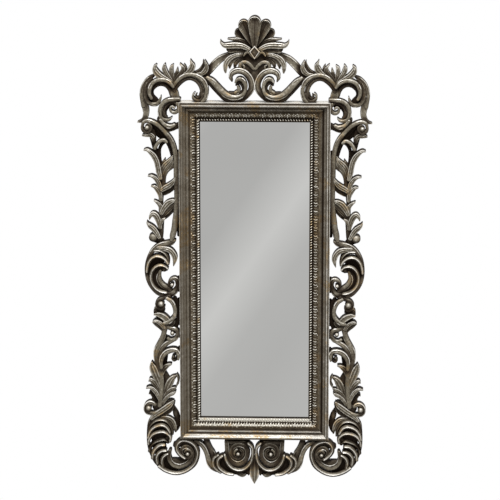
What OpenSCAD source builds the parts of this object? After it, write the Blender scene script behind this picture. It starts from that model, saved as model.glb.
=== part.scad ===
// Upright wall mirror: a mitred moulding round a plate of mirror glass, with pierced
// scroll and leaf carving fixed round its outside.
// +Z is up and the glass faces -Y. The origin lies on the wall, behind the middle of the glass.

/* [Glass] */
// Width of the glass that shows between the slips
sight_w = 328; // [300:2:356]
// Height of the glass that shows between the slips
sight_h = 920; // [860:2:980]
// Thickness of the mirror glass
glass_t = 4; // [3:0.5:5]
// Thickness of the backing card behind the glass
card_t = 1.7; // [1:0.1:2]
// Thickness of the backboard
board_t = 4; // [3:0.5:5]
// How far the glass, card and board reach under the slips on each side
glass_cover = 36; // [30:1:37]

/* [Moulding] */
// Distance from the sight edge to the outside of the moulding
rail_face = 62; // [60:1:66]
// Depth of the moulding's crest in front of the wall
crest_depth = 56; // [54:1:60]
// Radius of the row of beads next to the glass
bead_r = 3.6; // [3:0.1:4]

/* [Carving] */
// Depth of the carving's back in front of the wall
carving_back = 12; // [9:1:14]
// Thickness of the carving's lowest ground
ground_t = 16; // [12:1:20]
// Thickness of the carving's raised strokes
raised_t = 27; // [24:1:30]
// Thickness of the strokes that stand highest
proud_t = 35; // [32:1:38]
// Diameter of the dowels that pin the carving to the moulding
dowel_d = 6; // [5:0.5:6]

/* [Back fittings] */
// Thickness of the wall pads, which hold the frame off the wall
stand_off = 7; // [6:0.5:8]
// Diameter of the wall pads
pad_d = 16; // [12:1:20]
// Length of a turn button
button_l = 34; // [30:1:36]
// Width of a turn button
button_w = 12; // [10:1:13]
// Thickness of a turn button
button_t = 1.5; // [1.2:0.1:1.5]
// Height of the two hanging rings above the middle of the glass
hanger_z = 300; // [240:5:310]
// Radius of a hanging ring's wire
ring_wire_r = 1.5; // [1.2:0.1:1.5]
// Radius of a hanging ring's bow, to the middle of its wire
ring_bow_r = 10; // [9:0.5:10]

/* [Hidden] */
$fn = 48;

silver_leaf = "#a39d92";
aged_silver = "#8a8378";
glass_tint = "#b4b4b2";
card_grey = "#9a958a";
board_brown = "#7c6246";
plated_steel = "#c9c6bd";
pad_rubber = "#2b2a29";

half_w = sight_w / 2;
half_h = sight_h / 2;
outer_x = half_w + rail_face;
outer_z = half_h + rail_face;
// Running gap in front of and behind a turn button
button_gap = 0.2;
// Gap from the board's back to the moulding's back
board_recess = 0.3;
board_back = stand_off + board_recess;
card_back = board_back + board_t;
glass_back = card_back + card_t;
glass_front = glass_back + glass_t;

// Points on a round stretch of a section, from angle a0 to a1 round a centre
function turn(centre, r, a0, a1, n) =
    [for (i = [0:n]) centre + r * [cos(a0 + (a1 - a0) * i / n), sin(a0 + (a1 - a0) * i / n)]];
// Points between a and b on a curve that rises to the left of the way from a to b
function bow(a, b, rise, n) =
    [for (i = [1:n - 1])
        let (t = i / n, way = (b - a) / norm(b - a))
            a + (b - a) * t + 4 * rise * t * (1 - t) * [-way[1], way[0]]];

// Sections of the moulding and the slip: [distance outward from the sight edge, depth from the wall]
rebate_u = 38;
lip_u = 33;
lip_back = 33;
lip_front = 38.4;
side_front = 49.4;
ledge_edge = [61, 50.9];
ledge_foot = [57.6, 51.8];
rail_back = stand_off;
crest_inner = [51.4, crest_depth - 1.8];
cove_foot = [43.6, 40.4];
ridge_outer = [41.4, 39.2];
ridge_inner = [34.2, 39];
rail_section = concat(
    [[rebate_u, rail_back], [rail_face, rail_back]],
    [[rail_face, side_front], ledge_edge, ledge_foot],
    turn([53.8, crest_depth - 2.5], 2.5, 20, 150, 8),
    bow(crest_inner, cove_foot, 2.2, 6),
    [cove_foot, [42.4, 39], ridge_outer],
    bow(ridge_outer, ridge_inner, -2.8, 8),
    [ridge_inner, [33.6, lip_front], [lip_u, lip_front], [lip_u, lip_back], [rebate_u, lip_back]]);

bead_u = 5.7;
sight_front = 26.6;
band_foot = [12, 28.6];
band_top = [31.6, 38];
slip_section = concat(
    [[0, glass_front], [0, sight_front - 0.6], [0.8, sight_front]],
    [[bead_u - bead_r, sight_front]],
    turn([bead_u, sight_front], bead_r, 165, 15, 8),
    [[bead_u + bead_r, sight_front], [10.5, 26], band_foot],
    bow(band_foot, band_top, 1.6, 6),
    [band_top, [lip_u, lip_front - 0.6], [lip_u, lip_back], [rebate_u, lip_back], [rebate_u, glass_front]]);

// One side of a mitred frame. The section runs along X, its width outward along +Z and its
// depth along -Y, from the middle of the frame.
module mitred_bar(section, half_length, offset_z) {
    translate([0, 0, offset_z]) {
        intersection() {
            rotate([0, 90, 0])
                linear_extrude(2 * (half_length + rail_face), center = true)
                    polygon([for (p = section) [-p[0], -p[1]]]);
            rotate([90, 0, 0])
                linear_extrude(crest_depth + 1)
                    polygon([
                        [-half_length, 0], [half_length, 0],
                        [half_length + rail_face, rail_face], [-half_length - rail_face, rail_face]]);
        }
    }
}

// Turns what is drawn for the top side to another side: 0 top, 90 right, 180 bottom, -90 left
module frame_side(section, angle) {
    upright = abs(angle) == 90;
    rotate([0, angle, 0])
        mitred_bar(section, upright ? half_h : half_w, upright ? half_w : half_h);
}

// A flat plate drawn in x and z, from depth y0 to depth y1 in front of the wall
module plate(y0, y1) {
    translate([0, -y0, 0])
        rotate([90, 0, 0])
            linear_extrude(y1 - y0)
                children();
}

// Wood screw with a round head and a cross recess; its seat is at z = 0 and its shank points to -z
module screw(head_r, head_t, shank_r, length) {
    tip = 3;
    recess_w = 0.9;
    difference() {
        cylinder(r1 = head_r, r2 = head_r * 0.72, h = head_t);
        for (turned = [0, 90])
            rotate([0, 0, turned])
                translate([-head_r * 0.55, -recess_w / 2, head_t * 0.45])
                    cube([head_r * 1.1, recess_w, head_t]);
    }
    translate([0, 0, tip - length])
        cylinder(r = shank_r, h = length - tip);
    translate([0, 0, -length])
        cylinder(r1 = 0.3, r2 = shank_r, h = tip);
}

// Places what is drawn along z so that z points at the wall, at x, z and a depth from the wall
module facing_wall(x, z, depth) {
    translate([x, -depth, z])
        rotate([-90, 0, 0])
            children();
}

// Turn buttons: [x, z, angle] of each pivot; at angle 0 the button points to +X, at 90 to -Z
button_u = 48;
button_x = half_w + button_u;
button_z = half_h + button_u;
button_side_z = 370;
buttons = [
    [-button_x, button_side_z, 0], [-button_x, 0, 0], [-button_x, -button_side_z, 0],
    [button_x, button_side_z, 180], [button_x, 0, 180], [button_x, -button_side_z, 180],
    [0, button_z, 90], [0, -button_z, -90]];
pivot_r = 2.05;
pivot_hole_r = 2.1;
pivot_tail = 6;
pivot_head_r = 4;
pivot_head_t = 1.8;
pivot_screw_l = 20;
button_front = rail_back - button_gap;
button_back = button_front - button_t;
pivot_seat = button_back - button_gap;

// Hanging plates and rings
hanger_x = half_w + 50;
barrel_wall = 1.2;
barrel_gap = 0.1;
barrel_r = ring_wire_r + barrel_gap + barrel_wall;
barrel_depth = rail_back - barrel_r;
ring_bend_r = 3;
ring_side = 6;
ring_lean = 3.5;
strap_w = 14;
strap_l = 28;
strap_t = 1.2;
hanger_hole_r = 2;
hanger_holes = [-10.5, -25];
hanger_shank_r = 1.7;
hanger_head_r = 3.3;
hanger_head_t = 1.6;
hanger_screw_l = 16;

// Corner plates across the mitres
corner_plate_t = 1.5;
corner_plate_w = 18;
corner_leg = 62;
corner_inset = 3;
corner_holes = [22, 50];
corner_hole_r = 2;
corner_shank_r = 1.8;
corner_head_r = 3.4;
corner_head_t = 1.6;
corner_screw_l = 16;
corner_x = outer_x - corner_inset;
corner_z = outer_z - corner_inset;
corner_row = corner_plate_w / 2;

pad_x = half_w + 50;
pad_z = 430;

// How much wider a hole in the moulding or the carving is than what sits in it
bore_gap = 0.05;

module at_corner_screws() {
    for (sx = [-1, 1], sz = [-1, 1], d = corner_holes) {
        facing_wall(sx * (corner_x - d), sz * (corner_z - corner_row), rail_back - corner_plate_t)
            children();
        facing_wall(sx * (corner_x - corner_row), sz * (corner_z - d), rail_back - corner_plate_t)
            children();
    }
}

module at_hanger_screws(x) {
    for (z = hanger_holes)
        facing_wall(x, hanger_z + z, rail_back - strap_t)
            children();
}

module at_button_pivots(depth) {
    for (b = buttons)
        facing_wall(b[0], b[1], depth)
            children();
}

// Holes that the screws and dowels need in the moulding
module moulding_holes() {
    at_corner_screws()
        translate([0, 0, -corner_screw_l])
            cylinder(r = corner_shank_r + bore_gap, h = corner_screw_l);
    for (x = [-hanger_x, hanger_x])
        at_hanger_screws(x)
            translate([0, 0, -hanger_screw_l])
                cylinder(r = hanger_shank_r + bore_gap, h = hanger_screw_l);
    at_button_pivots(pivot_seat)
        translate([0, 0, -pivot_screw_l])
            cylinder(r = pivot_r + bore_gap, h = pivot_screw_l);
    all_dowels(bore_gap);
}

module rail(angle) {
    color(silver_leaf)
        difference() {
            frame_side(rail_section, angle);
            moulding_holes();
        }
}

module rail_top() { rail(0); }
module rail_bottom() { rail(180); }
module rail_left() { rail(-90); }
module rail_right() { rail(90); }

module bead_slip(angle) {
    color(aged_silver)
        frame_side(slip_section, angle);
}

module bead_slip_top() { bead_slip(0); }
module bead_slip_bottom() { bead_slip(180); }
module bead_slip_left() { bead_slip(-90); }
module bead_slip_right() { bead_slip(90); }

module pane(y0, y1) {
    plate(y0, y1)
        square([sight_w + 2 * glass_cover, sight_h + 2 * glass_cover], center = true);
}

module mirror_glass() {
    color(glass_tint)
        pane(glass_back, glass_front);
}

module backing_card() {
    color(card_grey)
        pane(card_back, glass_back);
}

module backboard() {
    color(board_brown)
        pane(board_back, card_back);
}

// A turn button lies against the backboard and turns on its screw
module turn_button(place) {
    reach = button_l - button_w / 2 - pivot_tail - button_w / 2;
    color(plated_steel)
        facing_wall(place[0], place[1], button_front)
            rotate([0, 0, place[2]])
                difference() {
                    union() {
                        translate([-pivot_tail, -button_w / 2, 0])
                            cube([reach + pivot_tail, button_w, button_t]);
                        for (x = [-pivot_tail, reach])
                            translate([x, 0, 0])
                                cylinder(d = button_w, h = button_t);
                    }
                    translate([0, 0, -1])
                        cylinder(r = pivot_hole_r, h = button_t + 2);
                }
}

module turn_button_1() { turn_button(buttons[0]); }
module turn_button_2() { turn_button(buttons[1]); }
module turn_button_3() { turn_button(buttons[2]); }
module turn_button_4() { turn_button(buttons[3]); }
module turn_button_5() { turn_button(buttons[4]); }
module turn_button_6() { turn_button(buttons[5]); }
module turn_button_7() { turn_button(buttons[6]); }
module turn_button_8() { turn_button(buttons[7]); }

module turn_button_screws() {
    color(plated_steel)
        at_button_pivots(pivot_seat)
            screw(pivot_head_r, pivot_head_t, pivot_r, pivot_screw_l);
}

// Steel strap with its top end rolled into a barrel for the ring
module hanger_plate(x) {
    barrel_l = 2 * (ring_bow_r - ring_bend_r) - 1;
    color(plated_steel)
        difference() {
            union() {
                translate([x - barrel_l / 2, -barrel_depth, hanger_z])
                    rotate([0, 90, 0])
                        cylinder(r = barrel_r, h = barrel_l);
                translate([x - strap_w / 2 + 0.5, -rail_back, hanger_z - strap_l])
                    cube([strap_w - 1, strap_t, strap_l]);
                facing_wall(x, hanger_z - strap_l, rail_back)
                    cylinder(d = strap_w - 1, h = strap_t);
            }
            translate([x - strap_w, -barrel_depth, hanger_z])
                rotate([0, 90, 0])
                    cylinder(r = ring_wire_r + barrel_gap, h = 2 * strap_w);
            for (z = hanger_holes)
                facing_wall(x, hanger_z + z, rail_back + 1)
                    cylinder(r = hanger_hole_r, h = strap_t + 2);
        }
}

module hanger_plate_left() { hanger_plate(-hanger_x); }
module hanger_plate_right() { hanger_plate(hanger_x); }

// Half of a D-ring, from the middle of its straight pin to the top of its bow
module half_ring() {
    rotate([0, 90, 0])
        cylinder(r = ring_wire_r, h = ring_bow_r - ring_bend_r);
    translate([ring_bow_r - ring_bend_r, 0, ring_bend_r])
        rotate([90, 0, 0])
            rotate([0, 0, -90])
                rotate_extrude(angle = 90)
                    translate([ring_bend_r, 0])
                        circle(r = ring_wire_r);
    translate([ring_bow_r, 0, ring_bend_r])
        cylinder(r = ring_wire_r, h = ring_side - ring_bend_r);
    translate([0, 0, ring_side])
        rotate([90, 0, 0])
            rotate_extrude(angle = 90)
                translate([ring_bow_r, 0])
                    circle(r = ring_wire_r);
}

module hanger_ring(x) {
    color(plated_steel)
        translate([x, -barrel_depth, hanger_z])
            rotate([ring_lean, 0, 0]) {
                half_ring();
                mirror([1, 0, 0])
                    half_ring();
            }
}

module hanger_ring_left() { hanger_ring(-hanger_x); }
module hanger_ring_right() { hanger_ring(hanger_x); }

module hanger_screws() {
    color(plated_steel)
        for (x = [-hanger_x, hanger_x])
            at_hanger_screws(x)
                screw(hanger_head_r, hanger_head_t, hanger_shank_r, hanger_screw_l);
}

// Four L-shaped steel plates, one across each mitre
module corner_plates() {
    color(plated_steel)
        for (sx = [-1, 1], sz = [-1, 1])
            difference() {
                plate(rail_back - corner_plate_t, rail_back)
                    polygon([
                        [sx * corner_x, sz * corner_z],
                        [sx * (corner_x - corner_leg), sz * corner_z],
                        [sx * (corner_x - corner_leg), sz * (corner_z - corner_plate_w)],
                        [sx * (corner_x - corner_plate_w), sz * (corner_z - corner_plate_w)],
                        [sx * (corner_x - corner_plate_w), sz * (corner_z - corner_leg)],
                        [sx * corner_x, sz * (corner_z - corner_leg)]]);
                for (d = corner_holes) {
                    facing_wall(sx * (corner_x - d), sz * (corner_z - corner_row), rail_back + 1)
                        cylinder(r = corner_hole_r, h = corner_plate_t + 2);
                    facing_wall(sx * (corner_x - corner_row), sz * (corner_z - d), rail_back + 1)
                        cylinder(r = corner_hole_r, h = corner_plate_t + 2);
                }
            }
}

module corner_plate_screws() {
    color(plated_steel)
        at_corner_screws()
            screw(corner_head_r, corner_head_t, corner_shank_r, corner_screw_l);
}

// Four rubber pads that rest against the wall
module wall_pads() {
    color(pad_rubber)
        for (sx = [-1, 1], sz = [-1, 1])
            facing_wall(sx * pad_x, sz * pad_z, rail_back)
                cylinder(d1 = pad_d, d2 = pad_d - 2, h = rail_back);
}

// The carving is drawn as strokes on the right-hand half; the left half mirrors it.
// A stroke is [kind, relative height, [[x, z, half width], ...]], in millimetres from the middle
// of the glass, for a moulding whose outside is drawn_w by drawn_h.
drawn_w = 452;
drawn_h = 1044;
along_x = 2 * outer_x / drawn_w;
along_z = 2 * outer_z / drawn_h;

// Shell on the crest: flutes that spread from its hub to round lobes
shell_flutes = [
    ["leaf", 1, [[0, 694, 7], [0, 728, 14], [0, 760, 20]]],
    ["leaf", 0.9, [[4, 694, 6], [19, 724, 12], [32, 752, 17]]],
    ["leaf", 0.75, [[8, 692, 6], [28, 710, 11], [46, 728, 14]]]];

// Leaves under the shell
crest_leaf_strokes = [
    ["ground", 0.68, [[0, 704, 12], [0, 684, 22], [0, 660, 30], [0, 640, 26], [0, 622, 14]]],
    ["ground", 0.62, [[12, 650, 14], [30, 655, 10], [48, 656, 10], [64, 652, 9]]],
    ["leaf", 0.8, [[14, 690, 5], [30, 700, 8], [48, 708, 7], [64, 710, 4], [79, 711, 1.5]]],
    ["leaf", 1, [[18, 683, 6], [36, 691, 8], [56, 693, 9], [75, 692, 9], [90, 693, 6], [99, 701, 3],
        [101, 707, 1]]],
    ["leaf", 0.85, [[24, 672, 5], [42, 678, 8], [60, 679, 8], [74, 676, 6], [82, 680, 2]]],
    ["rib", 0.9, [[1, 655, 2.5], [9, 662, 3], [16, 670, 3], [22, 672, 3.5], [28, 668, 3], [32, 662, 1.5]]],
    ["leaf", 0.85, [[38, 665, 5], [58, 662, 6], [75, 652, 8], [85, 637, 8], [87, 622, 6], [86, 612, 3]]],
    ["leaf", 0.75, [[36, 660, 5], [54, 655, 6], [67, 646, 7], [73, 634, 6], [74, 625, 3]]],
    ["leaf", 0.7, [[32, 655, 5], [46, 649, 6], [56, 638, 7], [59, 628, 4]]],
    ["rib", 0.8, [[3, 622, 4], [13, 634, 5], [26, 642, 5], [38, 640, 5], [44, 630, 5], [40, 621, 4],
        [33, 621, 3], [30, 628, 2.5], [34, 633, 2]]],
    ["ground", 0.66, [[8, 612, 8], [20, 622, 12], [34, 630, 10]]]];

// Ribbon from the crest to the arch, and the volute under it
crest_scroll_strokes = [
    ["band", 0.75, [[54, 667, 4], [76, 663, 7], [98, 652, 10], [114, 639, 11], [127, 625, 11],
        [137, 612, 10], [145, 603, 8], [158, 602, 5], [174, 604, 3]]],
    ["rib", 0.85, [[67, 586, 2.5], [71, 597, 6], [66, 609, 8], [50, 616, 9], [32, 612, 9],
        [18, 599, 9.5], [10, 581, 9.5], [9.5, 563, 9.5], [19, 546, 8], [34, 533, 8], [50, 528, 7],
        [70, 527, 6], [88, 531, 6], [103, 545, 6], [118, 561, 6], [132, 577, 6], [146, 592, 6]]],
    ["rib", 1, [[57, 583, 2.5], [50, 591, 5], [40, 592, 6], [31, 584, 6], [26, 570, 5], [28, 556, 5],
        [35, 545, 6], [48, 538, 7], [66, 537, 8], [84, 544, 9], [99, 557, 9], [112, 571, 9],
        [125, 585, 8], [139, 596, 5]]],
    ["rib", 0.85, [[55, 574, 2.5], [48, 580, 4], [39, 577, 5], [34, 567, 5], [34, 556, 5], [41, 547, 6],
        [52, 544, 7], [66, 547, 5], [76, 550, 2]]],
    ["rib", 0.95, [[50, 571, 3], [47, 563, 5], [48, 555, 6], [56, 550, 6]]],
    ["ground", 0.7, [[4, 622, 7], [4, 602, 6], [3, 585, 4]]]];

// Arch over the corner, and the flame-like leaves on it
arch_strokes = [
    ["ground", 0.62, [[250, 560, 6], [262, 574, 6], [278, 580, 8], [296, 574, 10], [308, 556, 9],
        [308, 538, 9], [296, 524, 9]]],
    ["rib", 0.8, [[298, 600, 3], [310, 593, 6], [323, 580, 7], [332, 563, 7], [336, 545, 6],
        [335, 526, 5], [331, 508, 6]]],
    ["rib", 0.85, [[304, 592, 3], [314, 580, 6], [321, 564, 6], [324, 546, 6], [321, 529, 6],
        [313, 518, 6], [302, 514, 6], [291, 515, 6], [284, 522, 5], [280, 531, 3], [279, 538, 1.5]]],
    ["rib", 1, [[241, 568, 4], [251, 580, 6], [263, 587, 6], [278, 589, 6], [292, 586, 6], [304, 577, 6],
        [311, 562, 6], [312, 546, 5], [306, 533, 4]]],
    ["rib", 0.8, [[247, 543, 6], [252, 558, 6], [262, 570, 6], [276, 575, 6], [290, 572, 6],
        [300, 563, 5]]],
    ["band", 0.8, [[322, 536, 8], [327, 515, 10], [324, 500, 10], [323, 486, 9], [327, 472, 8],
        [336, 463, 5], [348, 460, 1.5]]],
    ["band", 0.85, [[240, 566, 6], [238, 550, 11], [236, 538, 12], [232, 524, 10], [226, 513, 8],
        [220, 504, 5]]],
    ["rib", 0.95, [[241, 568, 4], [232, 582, 5], [220, 594, 6], [206, 602, 6], [190, 605, 6],
        [174, 602, 6], [160, 594, 7], [149, 582, 7], [143, 566, 6], [142, 550, 6], [146, 534, 6],
        [155, 523, 5]]],
    ["rib", 0.84, [[238, 556, 6], [230, 572, 8], [218, 584, 8], [204, 592, 7], [190, 594, 7],
        [176, 589, 7], [165, 579, 7], [158, 566, 7], [155, 552, 7], [155, 540, 6]]],
    ["rib", 0.85, [[152, 545, 6], [155, 531, 6], [164, 525, 5], [174, 526, 5], [182, 533, 4],
        [183, 542, 3], [178, 549, 2]]],
    ["rib", 0.75, [[161, 547, 4], [163, 537, 5], [170, 533, 4], [175, 539, 3], [172, 545, 2]]],
    ["leaf", 1, [[248, 584, 4], [266, 593, 7], [282, 602, 9], [293, 614, 9], [296, 625, 6],
        [292, 632, 3]]],
    ["leaf", 0.95, [[243, 580, 4], [254, 596, 6], [263, 610, 7], [268, 623, 7], [266, 634, 2.5]]],
    ["leaf", 0.9, [[240, 576, 4], [244, 598, 6], [247, 614, 7], [246, 625, 6], [242, 632, 2.5]]],
    ["leaf", 0.8, [[239, 576, 4], [236, 594, 5], [231, 608, 6], [229, 622, 2]]],
    ["leaf", 0.85, [[238, 580, 4], [228, 596, 6], [217, 608, 7], [212, 621, 6], [216, 630, 3],
        [221, 636, 1.5]]],
    ["leaf", 0.8, [[224, 596, 4], [212, 606, 6], [205, 618, 5], [206, 628, 3], [209, 634, 1.5]]],
    ["leaf", 0.95, [[212, 602, 4], [198, 610, 7], [188, 620, 10], [184, 631, 8], [187, 640, 4],
        [190, 648, 1.5]]],
    ["leaf", 0.8, [[184, 606, 4], [168, 611, 6], [156, 618, 9], [151, 630, 7], [151, 640, 3],
        [152, 646, 1.5]]],
    ["leaf", 0.95, [[172, 605, 4], [156, 608, 6], [146, 617, 8], [142, 629, 6], [144, 639, 3],
        [147, 646, 1.5]]]];

// Volute at the moulding's upper corner
volute_strokes = [
    ["ground", 0.64, [[232, 516, 8], [248, 516, 10], [262, 508, 10], [270, 494, 9], [270, 480, 8]]],
    ["rib", 0.9, [[224, 530, 5], [240, 529, 6], [256, 527, 6], [270, 520, 6], [279, 507, 6],
        [282, 493, 6], [281, 480, 6], [275, 471, 5], [265, 467, 5], [254, 468, 4], [247, 474, 2]]],
    ["rib", 0.78, [[236, 519, 5], [252, 518, 6], [265, 508, 6], [271, 494, 6], [269, 481, 5],
        [262, 474, 3]]],
    ["rib", 0.95, [[230, 518, 4], [227, 505, 4], [229, 495, 5], [238, 490, 5], [248, 494, 4],
        [251, 503, 3], [245, 509, 3], [238, 505, 3]]],
    ["rib", 0.8, [[287, 470, 4], [280, 456, 6], [270, 445, 7], [258, 438, 7], [246, 440, 7],
        [235, 446, 8], [224, 450, 9]]],
    ["rib", 0.95, [[280, 468, 4], [271, 457, 5], [261, 450, 6], [249, 448, 6], [240, 452, 5]]]];

// Long stem and its leaves above the side scroll
upper_strokes = [
    ["ground", 0.5, [[312, 446, 10], [298, 438, 12], [284, 424, 13], [270, 412, 10]]],
    ["rib", 0.9, [[334, 447, 4], [331, 459, 5], [319, 464, 6], [305, 461, 6], [291, 454, 6],
        [277, 442, 6], [263, 426, 6], [250, 407, 7], [241, 386, 7], [236, 362, 7], [234, 335, 8],
        [234, 300, 8], [233, 260, 8], [233, 220, 8], [235, 190, 8], [238, 160, 9], [241, 136, 9],
        [246, 114, 9], [250, 101, 5]]],
    ["rib", 0.6, [[298, 446, 7], [284, 434, 9], [270, 418, 9], [259, 401, 9], [251, 382, 8],
        [246, 362, 7], [243, 342, 5], [242, 322, 4]]],
    ["rib", 0.9, [[334, 452, 4], [335, 443, 4], [330, 434, 5], [320, 431, 5], [311, 437, 4],
        [309, 447, 4], [316, 454, 4]]],
    ["ball", 1, [[320, 443, 8]]],
    ["rib", 0.7, [[306, 432, 9], [304, 416, 10], [302, 400, 8], [299, 384, 7], [295, 366, 6]]],
    ["leaf", 0.85, [[300, 402, 5], [303, 414, 7], [311, 421, 7], [322, 421, 6], [333, 420, 3]]],
    ["rib", 1, [[262, 401, 4], [270, 407, 5], [281, 404, 5], [290, 395, 5], [297, 382, 5]]],
    ["rib", 0.65, [[266, 400, 4], [277, 392, 5], [284, 378, 5], [286, 360, 6], [285, 345, 6],
        [282, 332, 5]]],
    ["leaf", 1, [[281, 290, 5], [286, 308, 8], [289, 326, 8], [293, 343, 8], [301, 359, 8],
        [312, 371, 6], [322, 377, 4], [330, 376, 1.5]]],
    ["leaf", 0.9, [[278, 300, 5], [274, 318, 7], [266, 331, 8], [256, 341, 7], [248, 351, 4],
        [245, 359, 1.5]]],
    ["leaf", 0.8, [[280, 318, 5], [274, 332, 6], [268, 347, 2]]],
    ["leaf", 0.85, [[276, 294, 5], [269, 311, 7], [258, 324, 7], [248, 336, 5], [243, 345, 2]]],
    ["rib", 0.8, [[238, 330, 5], [250, 322, 6], [261, 313, 6], [269, 299, 6], [272, 283, 6],
        [273, 268, 6]]],
    ["rib", 0.75, [[286, 312, 7], [283, 292, 9], [280, 274, 9], [278, 256, 9], [280, 238, 8],
        [281, 220, 7], [281, 204, 7], [280, 188, 8], [279, 172, 8], [280, 155, 8], [281, 138, 8],
        [283, 120, 9], [285, 102, 9]]],
    ["leaf", 0.95, [[283, 260, 6], [288, 277, 7], [297, 290, 6], [308, 297, 4], [318, 297, 1.5]]],
    ["leaf", 0.9, [[281, 224, 5], [284, 242, 7], [291, 255, 7], [300, 264, 5], [309, 265, 1.5]]],
    ["leaf", 0.95, [[278, 254, 6], [268, 261, 8], [256, 268, 8], [245, 278, 6], [237, 292, 2]]],
    ["leaf", 0.75, [[282, 238, 5], [270, 243, 7], [258, 249, 7], [247, 256, 6], [238, 264, 4]]],
    ["leaf", 0.85, [[281, 184, 5], [281, 197, 6], [285, 208, 6], [293, 216, 4], [301, 221, 1.5]]],
    ["leaf", 0.9, [[280, 182, 6], [272, 198, 8], [262, 211, 9], [250, 219, 7], [241, 222, 4],
        [235, 221, 1.5]]],
    ["leaf", 0.8, [[277, 172, 6], [265, 185, 7], [253, 197, 7], [244, 207, 5], [239, 215, 2]]],
    ["leaf", 0.7, [[274, 164, 5], [262, 174, 6], [251, 184, 5], [242, 192, 3]]],
    ["leaf", 0.9, [[284, 138, 6], [288, 157, 8], [295, 173, 9], [304, 180, 8], [312, 174, 5],
        [315, 165, 2]]],
    ["leaf", 0.95, [[286, 108, 5], [294, 122, 7], [303, 134, 8], [313, 143, 7], [320, 150, 4],
        [323, 156, 1.5]]],
    ["leaf", 0.9, [[281, 148, 3], [276, 161, 5], [269, 167, 2.5]]],
    ["ball", 0.9, [[305, 107, 13]]],
    ["ground", 0.6, [[300, 100, 10], [290, 95, 8], [280, 94, 8]]],
    ["ground", 0.4, [[229, 112, 5], [229, 240, 5], [229, 368, 5]]]];

// Ribbed scroll beside the middle of the glass
side_strokes = [
    ["ground", 0.58, [[268, 50, 10], [284, 38, 14], [304, 34, 14], [316, 14, 12], [314, -10, 12],
        [304, -34, 14], [288, -52, 12], [270, -62, 10]]],
    ["rib", 0.85, [[240, 98, 4], [250, 92, 8], [264, 89, 8], [280, 85, 8], [294, 77, 8], [306, 66, 7],
        [316, 51, 6], [323, 35, 5], [327, 17, 4], [327, -1, 4], [323, -20, 5], [316, -38, 5],
        [305, -54, 5], [292, -65, 6], [278, -71, 6]]],
    ["rib", 1, [[261, 28, 3], [268, 39, 4], [281, 48, 5], [296, 50, 5], [309, 44, 5], [318, 32, 5],
        [323, 17, 4], [325, 2, 3]]],
    ["rib", 0.9, [[300, 67, 5], [286, 67, 6], [273, 60, 6], [264, 49, 6], [260, 37, 5], [259, 26, 3]]],
    ["leaf", 0.95, [[290, 76, 5], [272, 74, 7], [257, 70, 8], [246, 60, 8], [240, 46, 8], [241, 34, 5],
        [244, 22, 1.5]]],
    ["rib", 0.95, [[262, 12, 3], [270, 19, 5], [283, 22, 5], [296, 18, 5], [306, 8, 5], [312, -6, 5],
        [313, -22, 5], [308, -38, 5], [298, -51, 5], [284, -60, 6], [268, -63, 5]]],
    ["rib", 0.7, [[266, 8, 5], [277, 7, 6], [290, 8, 7], [299, -3, 8], [301, -20, 8], [296, -36, 8],
        [284, -48, 8], [268, -53, 8]]],
    ["rib", 0.8, [[284, 4, 4], [289, -12, 7], [288, -26, 8], [280, -39, 8], [268, -48, 8], [256, -54, 8]]],
    ["ball", 0.8, [[272, 8, 7]]],
    ["rib", 0.8, [[276, -71, 6], [260, -69, 9], [247, -66, 9], [238, -56, 8], [233, -42, 6],
        [234, -26, 7], [241, -20, 6], [250, -22, 5], [257, -29, 4], [259, -38, 3.5], [254, -46, 3]]],
    ["ball", 0.95, [[249, -39, 6]]],
    ["ground", 0.4, [[229, -20, 5], [229, -40, 5], [229, -60, 5]]]];

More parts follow.
